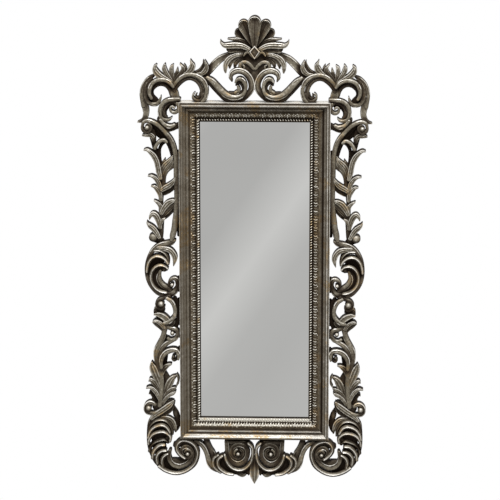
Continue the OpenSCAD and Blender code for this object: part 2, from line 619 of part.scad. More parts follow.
// Stems and leaves below the side scroll
lower_strokes = [
    ["rib", 0.85, [[258, -76, 6], [274, -80, 6], [288, -87, 6], [295, -98, 6], [292, -110, 6],
        [282, -115, 5], [274, -108, 4]]],
    ["ball", 1, [[283, -99, 10]]],
    ["rib", 1, [[264, -80, 5], [252, -88, 6], [244, -101, 6], [240, -118, 6], [242, -134, 6],
        [250, -146, 6], [261, -154, 6], [273, -157, 5]]],
    ["rib", 0.65, [[242, -84, 6], [234, -98, 6], [231, -118, 6], [231, -140, 6], [235, -157, 8],
        [240, -170, 8]]],
    ["leaf", 0.8, [[276, -120, 5], [287, -118, 8], [297, -117, 8], [302, -124, 4], [303, -131, 1.5]]],
    ["band", 1, [[302, -130, 3], [290, -131, 7], [277, -137, 9], [266, -146, 9], [258, -154, 6]]],
    ["leaf", 0.8, [[298, -137, 2], [289, -143, 5], [279, -151, 6], [270, -160, 6]]],
    ["leaf", 1, [[274, -172, 5], [282, -161, 6], [292, -153, 5], [301, -151, 4], [308, -155, 1.5]]],
    ["leaf", 0.9, [[276, -182, 5], [286, -171, 6], [297, -163, 5], [307, -157, 1.5]]],
    ["leaf", 0.9, [[264, -166, 6], [254, -163, 7], [246, -155, 6], [243, -148, 3]]],
    ["rib", 0.9, [[266, -158, 8], [271, -172, 9], [274, -186, 8], [277, -200, 8], [283, -214, 8],
        [291, -229, 8], [298, -244, 8], [300, -259, 7], [298, -274, 7], [293, -289, 8], [289, -305, 9],
        [286, -322, 9], [284, -340, 8], [284, -360, 8], [285, -380, 7], [287, -400, 7], [289, -418, 7]]],
    ["rib", 0.9, [[266, -170, 5], [253, -175, 6], [241, -177, 6], [234, -185, 6], [234, -197, 6],
        [241, -208, 6], [254, -211, 5], [262, -206, 4]]],
    ["ball", 0.95, [[249, -190, 6.5]]],
    ["rib", 0.9, [[238, -206, 4], [250, -213, 6], [264, -221, 7], [275, -231, 8], [284, -244, 8],
        [290, -259, 7], [291, -275, 6], [288, -292, 5]]],
    ["ground", 0.55, [[270, -208, 8], [280, -226, 10], [290, -246, 10]]],
    ["rib", 1, [[231, -270, 3], [231, -254, 6], [236, -244, 6], [248, -242, 7], [262, -246, 8],
        [273, -254, 8], [281, -266, 7], [284, -281, 6], [283, -298, 5]]],
    ["rib", 0.8, [[240, -250, 4], [234, -260, 5], [237, -271, 4], [245, -276, 3.5], [250, -270, 3]]],
    ["ball", 0.85, [[246, -264, 5]]],
    ["ground", 0.58, [[270, -262, 7], [274, -276, 9], [276, -292, 8]]],
    ["leaf", 0.9, [[285, -328, 6], [280, -310, 8], [271, -297, 8], [261, -290, 5], [253, -288, 2]]],
    ["leaf", 0.95, [[286, -362, 4], [291, -345, 8], [298, -327, 11], [305, -309, 12], [310, -295, 10],
        [312, -284, 3]]],
    ["leaf", 0.9, [[288, -374, 4], [297, -358, 7], [307, -345, 8], [316, -337, 6], [321, -341, 2]]],
    ["leaf", 0.95, [[289, -400, 4], [298, -380, 6], [308, -367, 6], [318, -361, 4], [329, -363, 1.5]]],
    ["leaf", 0.75, [[293, -412, 5], [301, -397, 8], [309, -386, 8], [317, -379, 5], [321, -383, 2]]],
    ["leaf", 0.7, [[296, -420, 6], [304, -409, 7], [310, -401, 4], [312, -398, 2]]],
    ["rib", 0.72, [[274, -320, 8], [270, -331, 10], [267, -344, 14], [269, -360, 15], [273, -378, 12],
        [278, -396, 10], [283, -414, 8]]],
    ["leaf", 0.85, [[278, -398, 5], [270, -378, 8], [263, -358, 11], [256, -343, 11], [248, -332, 8],
        [238, -325, 3]]],
    ["rib", 0.9, [[236, -320, 1.5], [232, -330, 3], [232, -344, 3], [237, -354, 2]]],
    ["leaf", 0.85, [[280, -404, 4], [270, -386, 6], [259, -373, 7], [248, -366, 6], [239, -361, 2]]],
    ["leaf", 0.9, [[280, -412, 4], [270, -396, 5], [258, -385, 5], [248, -380, 5], [240, -374, 1.5]]],
    ["rib", 0.75, [[300, -424, 12], [288, -426, 10], [276, -416, 9], [264, -408, 7], [254, -405, 5]]],
    ["rib", 0.85, [[304, -417, 6], [316, -411, 7], [328, -417, 7], [332, -430, 7], [326, -441, 7],
        [311, -445, 6], [296, -441, 6]]],
    ["ball", 0.95, [[323, -428, 9]]],
    ["ground", 0.4, [[229, -88, 5], [229, -126, 5], [229, -164, 5]]],
    ["ground", 0.4, [[229, -184, 5], [229, -204, 5]]],
    ["ground", 0.4, [[229, -240, 5], [229, -266, 5]]],
    ["ground", 0.4, [[237, -190, 6], [248, -190, 6]]]];

// Ribbed scroll and disc at the lower corner
foot_strokes = [
    ["ground", 0.6, [[296, -470, 16], [292, -500, 22], [294, -530, 22], [290, -560, 20], [284, -586, 16],
        [268, -608, 14], [244, -620, 10]]],
    ["ground", 0.76, [[242, -546, 8], [222, -540, 12], [204, -548, 14], [194, -566, 16], [200, -584, 14],
        [222, -600, 12], [250, -600, 10]]],
    ["ground", 0.78, [[214, -566, 12], [206, -572, 12]]],
    ["leaf", 0.9, [[316, -462, 4], [300, -447, 8], [284, -436, 9], [269, -425, 9], [257, -415, 8],
        [248, -405, 3]]],
    ["leaf", 0.75, [[306, -464, 5], [288, -452, 8], [272, -444, 8], [259, -435, 8], [251, -423, 6],
        [246, -411, 4]]],
    ["rib", 0.6, [[247, -428, 4], [241, -446, 9], [236, -462, 9], [235, -478, 9], [237, -492, 7],
        [241, -503, 3]]],
    ["leaf", 0.8, [[282, -458, 5], [264, -461, 7], [252, -470, 8], [245, -484, 7], [241, -502, 2.5]]],
    ["rib", 0.75, [[308, -456, 6], [320, -474, 6], [325, -494, 4], [326, -518, 4], [325, -542, 4],
        [321, -563, 4], [313, -584, 4], [303, -601, 5], [290, -615, 5]]],
    ["rib", 0.85, [[324, -502, 4], [318, -485, 6], [306, -472, 7], [290, -466, 7], [274, -468, 7],
        [262, -478, 7], [254, -492, 6], [250, -509, 3]]],
    ["rib", 1, [[325, -521, 4], [320, -504, 5], [310, -491, 5], [296, -483, 6], [281, -481, 6],
        [268, -488, 6], [259, -503, 4]]],
    ["rib", 1, [[325, -541, 4], [321, -524, 5], [311, -511, 5], [296, -504, 6], [280, -502, 6],
        [266, -508, 6], [257, -519, 5], [258, -531, 4]]],
    ["ball", 0.8, [[266, -523, 8]]],
    ["rib", 0.8, [[322, -566, 5], [317, -550, 6], [305, -539, 7], [290, -533, 7], [276, -530, 6],
        [265, -537, 5]]],
    ["rib", 0.95, [[313, -586, 5], [310, -569, 6], [301, -555, 6], [289, -546, 6], [277, -545, 5]]],
    ["rib", 0.95, [[298, -604, 5], [300, -586, 6], [294, -572, 6], [283, -564, 6], [272, -563, 4]]],
    ["rib", 0.95, [[281, -617, 5], [284, -600, 6], [281, -586, 6], [273, -577, 5], [266, -573, 3]]],
    ["rib", 0.9, [[258, -563, 5], [262, -580, 7], [257, -597, 7], [246, -608, 8], [230, -612, 8],
        [213, -606, 7], [199, -595, 7], [191, -580, 7], [191, -564, 6], [199, -552, 6], [212, -549, 6],
        [222, -556, 5], [224, -567, 5], [218, -577, 4]]],
    ["rib", 1, [[292, -613, 5], [276, -624, 6], [256, -632, 6], [236, -634, 6], [216, -629, 6],
        [199, -619, 6], [185, -605, 7], [177, -588, 7], [174, -570, 7], [179, -552, 7], [190, -538, 8],
        [206, -530, 8], [222, -530, 8], [235, -541, 8], [238, -557, 7], [232, -570, 6], [222, -580, 5],
        [213, -586, 2]]],
    ["rib", 0.9, [[214, -584, 3], [204, -586, 4], [195, -580, 4], [192, -570, 4], [198, -561, 4],
        [207, -559, 4], [213, -566, 3]]],
    ["ball", 1, [[205, -573, 6]]]];

// Short bracket between the disc and the lower volute
brace_strokes = [
    ["rib", 0.9, [[180, -531, 5], [164, -541, 7], [153, -555, 7], [146, -572, 7], [141, -590, 8],
        [137, -604, 8], [128, -616, 7], [116, -625, 4]]],
    ["rib", 0.8, [[148, -528, 8], [143, -545, 9], [136, -560, 9], [128, -573, 9], [126, -588, 9]]],
    ["ground", 0.6, [[150, -545, 10], [140, -570, 10], [132, -590, 10], [128, -608, 8]]]];

// Volute under the bottom rail
base_strokes = [
    ["ground", 0.6, [[112, -592, 10], [108, -610, 10], [94, -622, 10], [76, -628, 10], [56, -632, 9],
        [38, -634, 9], [24, -632, 8]]],
    ["ground", 0.74, [[52, -560, 30], [50, -576, 30]]],
    ["rib", 0.95, [[112, -576, 4], [123, -585, 5], [127, -598, 5], [125, -611, 5], [116, -622, 5],
        [104, -630, 4]]],
    ["rib", 1, [[99, -578, 4], [109, -586, 6], [113, -600, 6], [109, -614, 6], [98, -625, 6],
        [84, -633, 5], [66, -636, 4]]],
    ["rib", 0.7, [[96, -580, 6], [99, -596, 8], [93, -612, 9], [80, -624, 8], [64, -630, 8]]],
    ["rib", 1, [[91, -574, 4], [87, -590, 5], [79, -605, 6], [66, -617, 6], [50, -622, 6], [35, -620, 6],
        [22, -611, 6], [12, -598, 6], [7, -582, 5], [5, -564, 5], [8, -548, 5], [18, -537, 5]]],
    ["leaf", 0.8, [[58, -628, 6], [46, -636, 7], [36, -640, 6], [28, -638, 3]]],
    ["rib", 0.86, [[86, -532, 6], [84, -548, 7], [83, -566, 7], [79, -583, 8], [68, -597, 9],
        [52, -603, 9], [36, -598, 9], [25, -585, 8], [21, -568, 8], [26, -552, 7], [39, -543, 7],
        [54, -543, 7], [66, -551, 6], [70, -564, 6], [66, -577, 6], [55, -584, 5], [44, -582, 5],
        [36, -573, 4.5], [36, -563, 4], [43, -556, 3]]],
    ["rib", 0.8, [[84, -534, 6], [66, -535, 6], [46, -535, 6], [28, -536, 6], [14, -542, 5]]],
    ["rib", 0.95, [[61, -572, 2], [60, -562, 3], [54, -556, 3]]],
    ["ball", 1, [[50, -571, 6]]],
    ["ground", 0.4, [[22, -527, 7], [52, -527, 7], [84, -527, 7]]]];

// Leaf that hangs at the middle of the bottom
drop_strokes = [
    ["leaf", 0.9, [[0, -588, 7], [0, -610, 13], [0, -628, 15], [0, -642, 13], [0, -653, 8], [0, -663, 2]]],
    ["leaf", 0.75, [[5, -590, 5], [13, -608, 8], [18, -624, 7], [18, -638, 3]]]];

// Joint lines between neighbouring pieces of the carving, from the middle or the moulding outward
shell_seam = [[0, 694], [14, 690], [50, 714], [70, 730], [130, 740]];
leaves_seam = [[0, 606], [16, 606], [30, 619], [62, 619], [78, 606], [90, 606], [94, 625], [90, 645],
    [78, 657], [70, 664], [86, 671], [130, 690], [130, 740]];
crest_seam = [[136, 522], [136, 570], [141, 583], [152, 592], [152, 606], [136, 612], [136, 690]];
arch_seam = [[226, 534], [276, 534], [288, 524], [291, 505], [298, 490]];
volute_seam = [[226, 430], [256, 430], [272, 438], [284, 448], [292, 462], [298, 478], [298, 490]];
outer_seam = [[298, 490], [316, 471], [326, 463], [336, 456], [360, 450]];
spray_seam = [[226, 104], [244, 104], [256, 101], [264, 97], [280, 93], [296, 86], [312, 76], [360, 70]];
side_seam = [[226, -77], [270, -77], [300, -75], [360, -75]];
foot_seam = [[226, -400], [243, -400], [262, -412], [280, -427], [296, -440], [312, -449], [360, -452]];
brace_seam = [[190, -522], [178, -535], [168, -548], [165, -560], [165, -690]];
base_seam = [[121, -522], [121, -575], [130, -586], [133, -600], [130, -614], [118, -626], [112, -640],
    [112, -690]];
drop_seam = [[0, -586], [8, -590], [17, -606], [26, -618], [30, -640], [30, -690]];
reach = 360;
top = 800;
low = -690;

function back_along(seam) = [for (i = [len(seam) - 1:-1:0]) seam[i]];

// Space that each piece of the carving keeps to
shell_space = concat(shell_seam, [[130, top], [0, top]]);
crest_leaf_space = concat(leaves_seam, back_along(shell_seam));
crest_scroll_space = concat([[0, 522]], crest_seam, [[130, 740]], back_along(leaves_seam));
arch_space = concat(crest_seam, [[136, top], [reach, top]], back_along(outer_seam),
    back_along(arch_seam), [[226, 522]]);
volute_space = concat(arch_seam, back_along(volute_seam));
upper_space = concat(volute_seam, outer_seam, back_along(spray_seam));
side_space = concat(spray_seam, back_along(side_seam));
lower_space = concat(side_seam, back_along(foot_seam));
foot_space = concat(foot_seam, [[reach, low]], back_along(brace_seam), [[226, -522]]);
brace_space = concat(brace_seam, back_along(base_seam));
base_space = concat(base_seam, back_along(drop_seam), [[0, -522]]);
drop_space = concat(drop_seam, [[0, low]]);

// Catmull-Rom points through a stroke's stations, with n steps between two stations
function smooth(p, n) = len(p) < 3 ? p : concat(
    [for (i = [0:len(p) - 2])
        let (b = p[i], c = p[i + 1], a = i > 0 ? p[i - 1] : 2 * b - c,
            d = i < len(p) - 2 ? p[i + 2] : 2 * c - b)
            for (k = [0:n - 1])
                let (t = k / n)
                    (2 * b + (c - a) * t + (2 * a - 5 * b + 4 * c - d) * t * t
                        + (3 * b - a - 3 * c + d) * t * t * t) / 2],
    [p[len(p) - 1]]);
// The line across a stroke at station i, as its two ends
function across(s, i) =
    let (before = s[max(i - 1, 0)], after = s[min(i + 1, len(s) - 1)],
        way = [after[0] - before[0], after[1] - before[1]],
        side = [-way[1], way[0]] / norm(way) * s[i][2],
        here = [s[i][0], s[i][1]])
        [here + side, here - side];
function placed(p) = [p[0] * along_x, p[1] * along_z, p[2]];

end_fn = 10;
thinnest = 0.8;

// A stroke's outline, grown or drawn in by some millimetres on each side
module stroke_shape(points, steps, grow) {
    s = smooth([for (p = points) placed(p)], steps);
    wide = [for (p = s) [p[0], p[1], max(p[2] + grow, thinnest)]];
    if (len(wide) > 1)
        for (i = [0:len(wide) - 2])
            let (a = across(wide, i), b = across(wide, i + 1))
                polygon([a[0], b[0], b[1], a[1]]);
    for (p = [wide[0], wide[len(wide) - 1]])
        translate([p[0], p[1]])
            circle(r = p[2], $fn = end_fn);
}

// Hairline between neighbouring pieces of carving
hairline = 0.02;

module level(strokes, space, lowest, steps, grow) {
    offset(delta = -hairline)
        intersection() {
            for (s = strokes)
                if (s[1] >= lowest)
                    stroke_shape(s[2], steps, grow);
            polygon([for (p = space) [p[0] * along_x, p[1] * along_z]]);
        }
}

raised_from = 0.7;
proud_from = 0.9;
// How far each raised level steps in from the edge of its strokes
level_step = 1;

// A piece of carving: a pierced ground with the raised strokes on it, in three levels
module carving(strokes, space) {
    deep = ground_t / 2;
    plate(carving_back, carving_back + ground_t)
        level(strokes, space, 0, 2, 0.4);
    plate(carving_back + deep, carving_back + raised_t)
        level(strokes, space, raised_from, 1, -level_step);
    plate(carving_back + deep, carving_back + proud_t)
        level(strokes, space, proud_from, 1, -1.6 * level_step);
}

// Dowels: [x, z, angle of the dowel's way outward from the moulding] on the right-hand half
dowel_l = 20;
dowel_depth = carving_back + ground_t / 2;
dowels = [
    [50, 522, 90], [80, 522, 90], [160, 522, 90],
    [226, 450, 0], [226, 340, 0], [226, 160, 0], [226, -46, 0],
    [226, -130, 0], [226, -250, 0], [226, -482, 0],
    [206, -522, -90], [150, -522, -90], [64, -522, -90]];

module all_dowels(gap) {
    for (d = dowels, side = [-1, 1])
        translate([side * d[0] * along_x, -dowel_depth, d[1] * along_z])
            rotate([0, side > 0 ? 90 - d[2] : d[2] - 90, 0])
                translate([0, 0, -dowel_l * 0.6 - gap])
                    cylinder(d = dowel_d + 2 * gap, h = dowel_l + 2 * gap);
}

module carving_dowels() {
    color(board_brown)
        all_dowels(0);
}

// One side's piece of carving, with its dowel holes; side is 1 for the right and -1 for the left
module side_carving(strokes, space, side) {
    color(aged_silver)
        difference() {
            if (side > 0)
                carving(strokes, space);
            else
                mirror([1, 0, 0])
                    carving(strokes, space);
            all_dowels(bore_gap);
        }
}

// A piece of carving on the middle line, drawn as its right half and the mirror of it
module middle_carving(strokes, space) {
    color(aged_silver)
        carving(
            concat(strokes, mirrored_strokes(strokes)),
            concat(space, [for (i = [len(space) - 1:-1:0]) [-space[i][0], space[i][1]]]));
}

function mirrored_strokes(strokes) =
    [for (s = strokes) [s[0], s[1], [for (p = s[2]) [-p[0], p[1], p[2]]]]];

// Raised diamond on the front of the crest leaves: its corners round the middle
boss = [[0, 696], [16, 678], [0, 655], [-16, 678]];
boss_t = 37;

module crest_shell() { middle_carving(shell_flutes, shell_space); }
module crest_leaves() {
    middle_carving(crest_leaf_strokes, crest_leaf_space);
    color(aged_silver)
        plate(carving_back + ground_t / 2, carving_back + boss_t)
            polygon([for (p = boss) [p[0] * along_x, p[1] * along_z - 3]]);
}
module crest_scroll_left() { side_carving(crest_scroll_strokes, crest_scroll_space, -1); }
module crest_scroll_right() { side_carving(crest_scroll_strokes, crest_scroll_space, 1); }
module top_arch_left() { side_carving(arch_strokes, arch_space, -1); }
module top_arch_right() { side_carving(arch_strokes, arch_space, 1); }
module corner_volute_left() { side_carving(volute_strokes, volute_space, -1); }
module corner_volute_right() { side_carving(volute_strokes, volute_space, 1); }
module upper_spray_left() { side_carving(upper_strokes, upper_space, -1); }
module upper_spray_right() { side_carving(upper_strokes, upper_space, 1); }
module side_scroll_left() { side_carving(side_strokes, side_space, -1); }
module side_scroll_right() { side_carving(side_strokes, side_space, 1); }
module lower_spray_left() { side_carving(lower_strokes, lower_space, -1); }
module lower_spray_right() { side_carving(lower_strokes, lower_space, 1); }
module bottom_scroll_left() { side_carving(foot_strokes, foot_space, -1); }
module bottom_scroll_right() { side_carving(foot_strokes, foot_space, 1); }
module brace_left() { side_carving(brace_strokes, brace_space, -1); }
module brace_right() { side_carving(brace_strokes, brace_space, 1); }
module bottom_volute_left() { side_carving(base_strokes, base_space, -1); }
module bottom_volute_right() { side_carving(base_strokes, base_space, 1); }
module drop_leaf() { middle_carving(drop_strokes, drop_space); }

rail_top();
rail_bottom();
rail_left();
rail_right();
bead_slip_top();
bead_slip_bottom();
bead_slip_left();
bead_slip_right();
mirror_glass();
backing_card();
backboard();
turn_button_1();
turn_button_2();
turn_button_3();
turn_button_4();
turn_button_5();
turn_button_6();
turn_button_7();
turn_button_8();
turn_button_screws();
hanger_plate_left();
hanger_plate_right();
hanger_ring_left();
hanger_ring_right();
hanger_screws();
corner_plates();
corner_plate_screws();
wall_pads();
carving_dowels();
crest_shell();
crest_leaves();
crest_scroll_left();
crest_scroll_right();
top_arch_left();
top_arch_right();
corner_volute_left();
corner_volute_right();
upper_spray_left();
upper_spray_right();
side_scroll_left();
side_scroll_right();
lower_spray_left();
lower_spray_right();
bottom_scroll_left();
bottom_scroll_right();
brace_left();
brace_right();
bottom_volute_left();
bottom_volute_right();
drop_leaf();
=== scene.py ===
import math
import random

import bmesh
import bpy
import numpy as np
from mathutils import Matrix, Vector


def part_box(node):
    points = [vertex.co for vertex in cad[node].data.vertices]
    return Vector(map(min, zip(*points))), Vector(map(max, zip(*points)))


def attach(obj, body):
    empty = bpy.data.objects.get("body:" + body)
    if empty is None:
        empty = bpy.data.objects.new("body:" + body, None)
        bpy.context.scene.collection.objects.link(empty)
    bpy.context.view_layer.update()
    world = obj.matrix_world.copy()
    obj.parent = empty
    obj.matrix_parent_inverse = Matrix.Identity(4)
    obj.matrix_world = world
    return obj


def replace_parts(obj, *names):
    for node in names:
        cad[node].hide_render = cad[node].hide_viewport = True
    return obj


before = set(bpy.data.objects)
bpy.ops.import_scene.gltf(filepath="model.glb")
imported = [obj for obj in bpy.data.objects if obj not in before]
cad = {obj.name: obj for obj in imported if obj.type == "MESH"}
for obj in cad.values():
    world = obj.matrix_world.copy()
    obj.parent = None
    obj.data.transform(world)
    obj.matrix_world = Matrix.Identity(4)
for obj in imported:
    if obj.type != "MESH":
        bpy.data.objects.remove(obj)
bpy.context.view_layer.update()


# Moulding. Four lengths of wood run to one section, mitred and glued at the corners, then coated
# with gesso and laid with silver leaf under a dark wash. The wash stays in the grooves and the crest
# is rubbed pale; faces that look down get painted shade and faces that look up painted light.
def colour(hex_code):
    """A linear colour from its sRGB hex value."""
    channels = [int(hex_code[i:i + 2], 16) / 255 for i in (1, 3, 5)]
    return tuple(c / 12.92 if c <= 0.04045 else ((c + 0.055) / 1.055) ** 2.4 for c in channels) + (1.0,)


def new_material(name):
    material = bpy.data.materials.new(name)
    material.use_nodes = True
    material.node_tree.nodes.clear()
    return material


def node(material, kind, inputs=None, stops=None, **settings):
    """Adds a node. An input is a value, a socket, or another node for that node's first output."""
    made = material.node_tree.nodes.new(kind)
    for name, value in settings.items():
        setattr(made, name, value)
    for name, value in (inputs or {}).items():
        if isinstance(value, bpy.types.Node):
            value = value.outputs[0]
        if isinstance(value, bpy.types.NodeSocket):
            material.node_tree.links.new(value, made.inputs[name])
        else:
            made.inputs[name].default_value = value
    for i, (place, shade) in enumerate(stops or []):
        stop = made.color_ramp.elements[i] if i < 2 else made.color_ramp.elements.new(place)
        stop.position, stop.color = place, colour(shade)
    return made


def scale_for(size_mm):
    """The scale of a pattern whose marks are size_mm across, as places are in metres."""
    return 1000 / size_mm


def silver_leaf(name, washed, bare, painted_top_light, shades):
    """Silver leaf under a dark wash. A point's relief says by how many millimetres it stands above
    its surroundings: the wash is whole below washed and gone above bare. As painted light from above,
    a face that looks straight up counts as the given millimetres higher and one that looks down as
    that much lower. The back was only stained brown."""
    material = new_material(name)
    place = node(material, "ShaderNodeTexCoord").outputs["Object"]
    relief = node(material, "ShaderNodeAttribute", attribute_name="relief").outputs["Fac"]
    worn = node(material, "ShaderNodeAttribute", attribute_name="worn").outputs["Fac"]
    facing = node(material, "ShaderNodeNewGeometry").outputs
    upward = node(material, "ShaderNodeSeparateXYZ", {"Vector": facing["Normal"]}).outputs["Z"]
    rearward = node(material, "ShaderNodeSeparateXYZ", {"Vector": facing["True Normal"]}).outputs["Y"]
    uneven = node(material, "ShaderNodeTexNoise", {
        "Vector": place, "Scale": scale_for(6.6667), "Detail": 4.0, "Roughness": 0.65})
    patches = node(material, "ShaderNodeTexNoise", {
        "Vector": place, "Scale": scale_for(47.619), "Detail": 2.0})
    # Real pits are finer, about half a millimetre; these are as coarse as they need to be to show
    pits = node(material, "ShaderNodeTexNoise", {
        "Vector": place, "Scale": scale_for(1.66667), "Detail": 2.0})

    # The wash follows the relief, give or take some millimetres of relief; faces that look up are
    # painted lighter and faces that look down darker, as light from above would make them
    level = node(material, "ShaderNodeMath", {0: upward, 1: painted_top_light, 2: relief}, operation="MULTIPLY_ADD")
    for spread, marks in ((8.0, uneven), (5.0, patches)):
        about_none = node(material, "ShaderNodeMath", {0: marks, 1: 0.5}, operation="SUBTRACT")
        level = node(material, "ShaderNodeMath", {
            0: about_none, 1: spread, 2: level}, operation="MULTIPLY_ADD")
    leaf = node(material, "ShaderNodeMapRange", {
        "Value": level, "From Min": washed, "From Max": bare}, interpolation_type="SMOOTHSTEP")
    tone = node(material, "ShaderNodeValToRGB", {"Fac": leaf}, stops=[
        (0.0, shades[0]), (0.36, shades[1]), (0.70, shades[2]), (1.0, shades[3])])

    # Leaf that is worn thin is gone in broken spots, and the bole under it shows as bronze
    thin = node(material, "ShaderNodeMath", {0: worn, 1: 0.16, 2: patches}, operation="MULTIPLY_ADD")
    gone = node(material, "ShaderNodeMapRange", {
        "Value": thin, "From Min": 0.56, "From Max": 0.68, "To Max": 0.85}, interpolation_type="SMOOTHSTEP")
    broken = node(material, "ShaderNodeMapRange", {"Value": uneven, "From Min": 0.36, "From Max": 0.56})
    bronze = node(material, "ShaderNodeMath", {0: gone, 1: broken}, operation="MULTIPLY")
    warm = node(material, "ShaderNodeMixRGB", {
        "Fac": bronze, "Color1": tone, "Color2": colour("#dcbf8a")}, blend_type="MULTIPLY")
    speck = node(material, "ShaderNodeMapRange", {
        "Value": pits, "From Min": 0.28, "From Max": 0.37, "To Min": 0.5, "To Max": 1.0})
    dotted = node(material, "ShaderNodeMixRGB", {
        "Fac": 1.0, "Color1": warm, "Color2": speck}, blend_type="MULTIPLY")

    # What looks to the wall has the stain in place of the leaf
    behind = node(material, "ShaderNodeMapRange", {"Value": rearward, "From Min": 0.6, "From Max": 0.85})
    stain = node(material, "ShaderNodeValToRGB", {"Fac": uneven}, stops=[(0.3, "#4d3a29"), (0.7, "#6b5239")])
    surface = node(material, "ShaderNodeMixRGB", {"Fac": behind, "Color1": dotted, "Color2": stain})

    # Bare leaf is half metal to the eye and has a sheen; the wash over it is matt
    metal = node(material, "ShaderNodeMapRange", {"Value": leaf, "From Min": 0.3, "To Max": 0.4})
    rough = node(material, "ShaderNodeMapRange", {"Value": leaf, "To Min": 0.72, "To Max": 0.4})
    sheen = node(material, "ShaderNodeMapRange", {"Value": leaf, "To Min": 0.12, "To Max": 0.5})
    grain = node(material, "ShaderNodeMath", {0: pits, 1: 0.4, 2: uneven}, operation="MULTIPLY_ADD")
    bump = node(material, "ShaderNodeBump", {"Distance": 0.00035, "Height": grain})
    shader = node(material, "ShaderNodeBsdfPrincipled", {
        "Base Color": surface, "Metallic": metal, "Roughness": rough, "Specular IOR Level": sheen,
        "Normal": bump})
    node(material, "ShaderNodeOutputMaterial", {"Surface": shader})
    return material


def solid_piece(name, points_mm, faces, material):
    """A mesh object from points in millimetres, fixed to the frame."""
    mesh = bpy.data.meshes.new(name)
    mesh.from_pydata(np.asarray(points_mm, float) / 1000, [], faces)
    outside = bmesh.new()
    outside.from_mesh(mesh)
    bmesh.ops.recalc_face_normals(outside, faces=outside.faces)
    outside.to_mesh(mesh)
    outside.free()
    mesh.polygons.foreach_set("use_smooth", [True] * len(mesh.polygons))
    mesh.materials.append(material)
    piece = bpy.data.objects.new(name, mesh)
    bpy.context.scene.collection.objects.link(piece)
    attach(piece, "frame")
    return piece


def skin(rings, columns):
    """Faces over rings x columns points, each ring closed on itself, with a cap on both ends."""
    i, j = np.meshgrid(np.arange(rings - 1), np.arange(columns), indexing="ij")
    k = (j + 1) % columns
    quads = np.stack([i * columns + j, (i + 1) * columns + j, (i + 1) * columns + k, i * columns + k], -1)
    first, last = list(range(columns)), [(rings - 1) * columns + j for j in reversed(range(columns))]
    return quads.reshape(-1, 4).tolist() + [first, last]


# Places where hands and cloths have worn the leaf thin: x, z and reach in millimetres
worn_spots = [
    (237, 569, 28), (204, 596, 20), (-247, 568, 26), (-212, 594, 18), (-8, 648, 42), (261, 280, 30),
    (246, 197, 34), (-286, 272, 26), (258, -57, 24), (293, 2, 26), (-296, 44, 34), (275, -287, 30),
    (266, -344, 34), (-293, -275, 34), (236, -424, 34), (268, -519, 40), (-306, -490, 44),
    (-8, -606, 40), (-104, -604, 30), (93, -598, 34), (-92, -484, 44), (20, -484, 44),
    (120, -482, 40), (178, 110, 44), (178, 40, 36), (-199, 150, 44), (-199, 60, 44), (8, 492, 40),
    (-205, -470, 30), (200, -470, 30), (-195, 480, 30), (195, 480, 26)]


def set_relief(piece, relief):
    """Stores each point's relief, and how worn its leaf is by the spots near it."""
    place = np.empty(len(relief) * 3, np.float32)
    piece.data.vertices.foreach_get("co", place)
    x, z = place[0::3] * 1000, place[2::3] * 1000
    worn = sum(np.exp(-((x - u) ** 2 + (z - v) ** 2) / reach ** 2) for u, v, reach in worn_spots)
    for name, values in (("relief", relief), ("worn", np.minimum(worn, 1))):
        layer = piece.data.attributes.new(name, "FLOAT", "POINT")
        layer.data.foreach_set("value", np.asarray(values, np.float32))


def bow(a, b, rise, count):
    """Points from a to b on a curve that rises to the left of the way."""
    a, b = np.array(a, float), np.array(b, float)
    way = (b - a) / np.linalg.norm(b - a)
    left = np.array([-way[1], way[0]])
    return [list(a + (b - a) * t + 4 * rise * t * (1 - t) * left) for t in np.linspace(0, 1, count + 1)]


def turn(centre, radius, start, end, count):
    """Points on a round stretch, from angle start to angle end."""
    return [[centre[0] + radius * math.cos(math.radians(a)), centre[1] + radius * math.sin(math.radians(a))]
            for a in np.linspace(start, end, count + 1)]


glass_front = -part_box("mirror_glass")[0][1] * 1000
rail_low, rail_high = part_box("rail_right")
crest = -rail_low[1] * 1000
face_width = 62
sight_x, sight_z = rail_high[0] * 1000 - face_width, rail_high[2] * 1000 - face_width

# Section of the moulding: distance outward from the sight edge, depth from the wall and relief
inner_bead = bow([34.2, 39], [41.4, 39.2], 2.8, 10)
cove = bow([43.6, 40.4], [51.4, crest - 1.8], -2.2, 8)
round_crest = turn([53.8, crest - 2.5], 2.5, 150, 20, 10)
moulding_front = (
    [[33, 38.4, -4], [33.6, 38.5, -3], [34.2, 39, -1.5]]
    + [[u, d, 1.5 - abs(u - 37.4) * 0.5] for u, d in inner_bead[1:-1]]
    + [[41.4, 39.2, -1], [42.4, 39, -5], [43.6, 40.4, -0.5]]
    + [[u, d, 0.5 + (d - 40.4) * 0.12] for u, d in cove[1:-1]]
    + [[u, d, 3] for u, d in round_crest]
    + [[57.6, 51.8, -3], [58.6, 51.6, 0], [61, 50.9, 0.5]])
moulding_side = [[face_width, d, relief] for d, relief in
                 ((49.4, -1), (44, -1), (36, -2), (26, -3), (16, -4), (7.6, -4))]
moulding_back = [[61.4, 7, -4], [50, 7, -3], [38, 7, -3], [38, 20, -9], [38, 33, -9], [33, 33, -9]]
moulding_section = moulding_front + moulding_side + moulding_back

# Each side: the ways outward and along it as x and z, half its sight edge, and how far out that lies
sides = {"top": ((0, 1), (1, 0), sight_x, sight_z), "right": ((1, 0), (0, -1), sight_z, sight_x),
         "bottom": ((0, -1), (-1, 0), sight_x, sight_z), "left": ((-1, 0), (0, 1), sight_z, sight_x)}
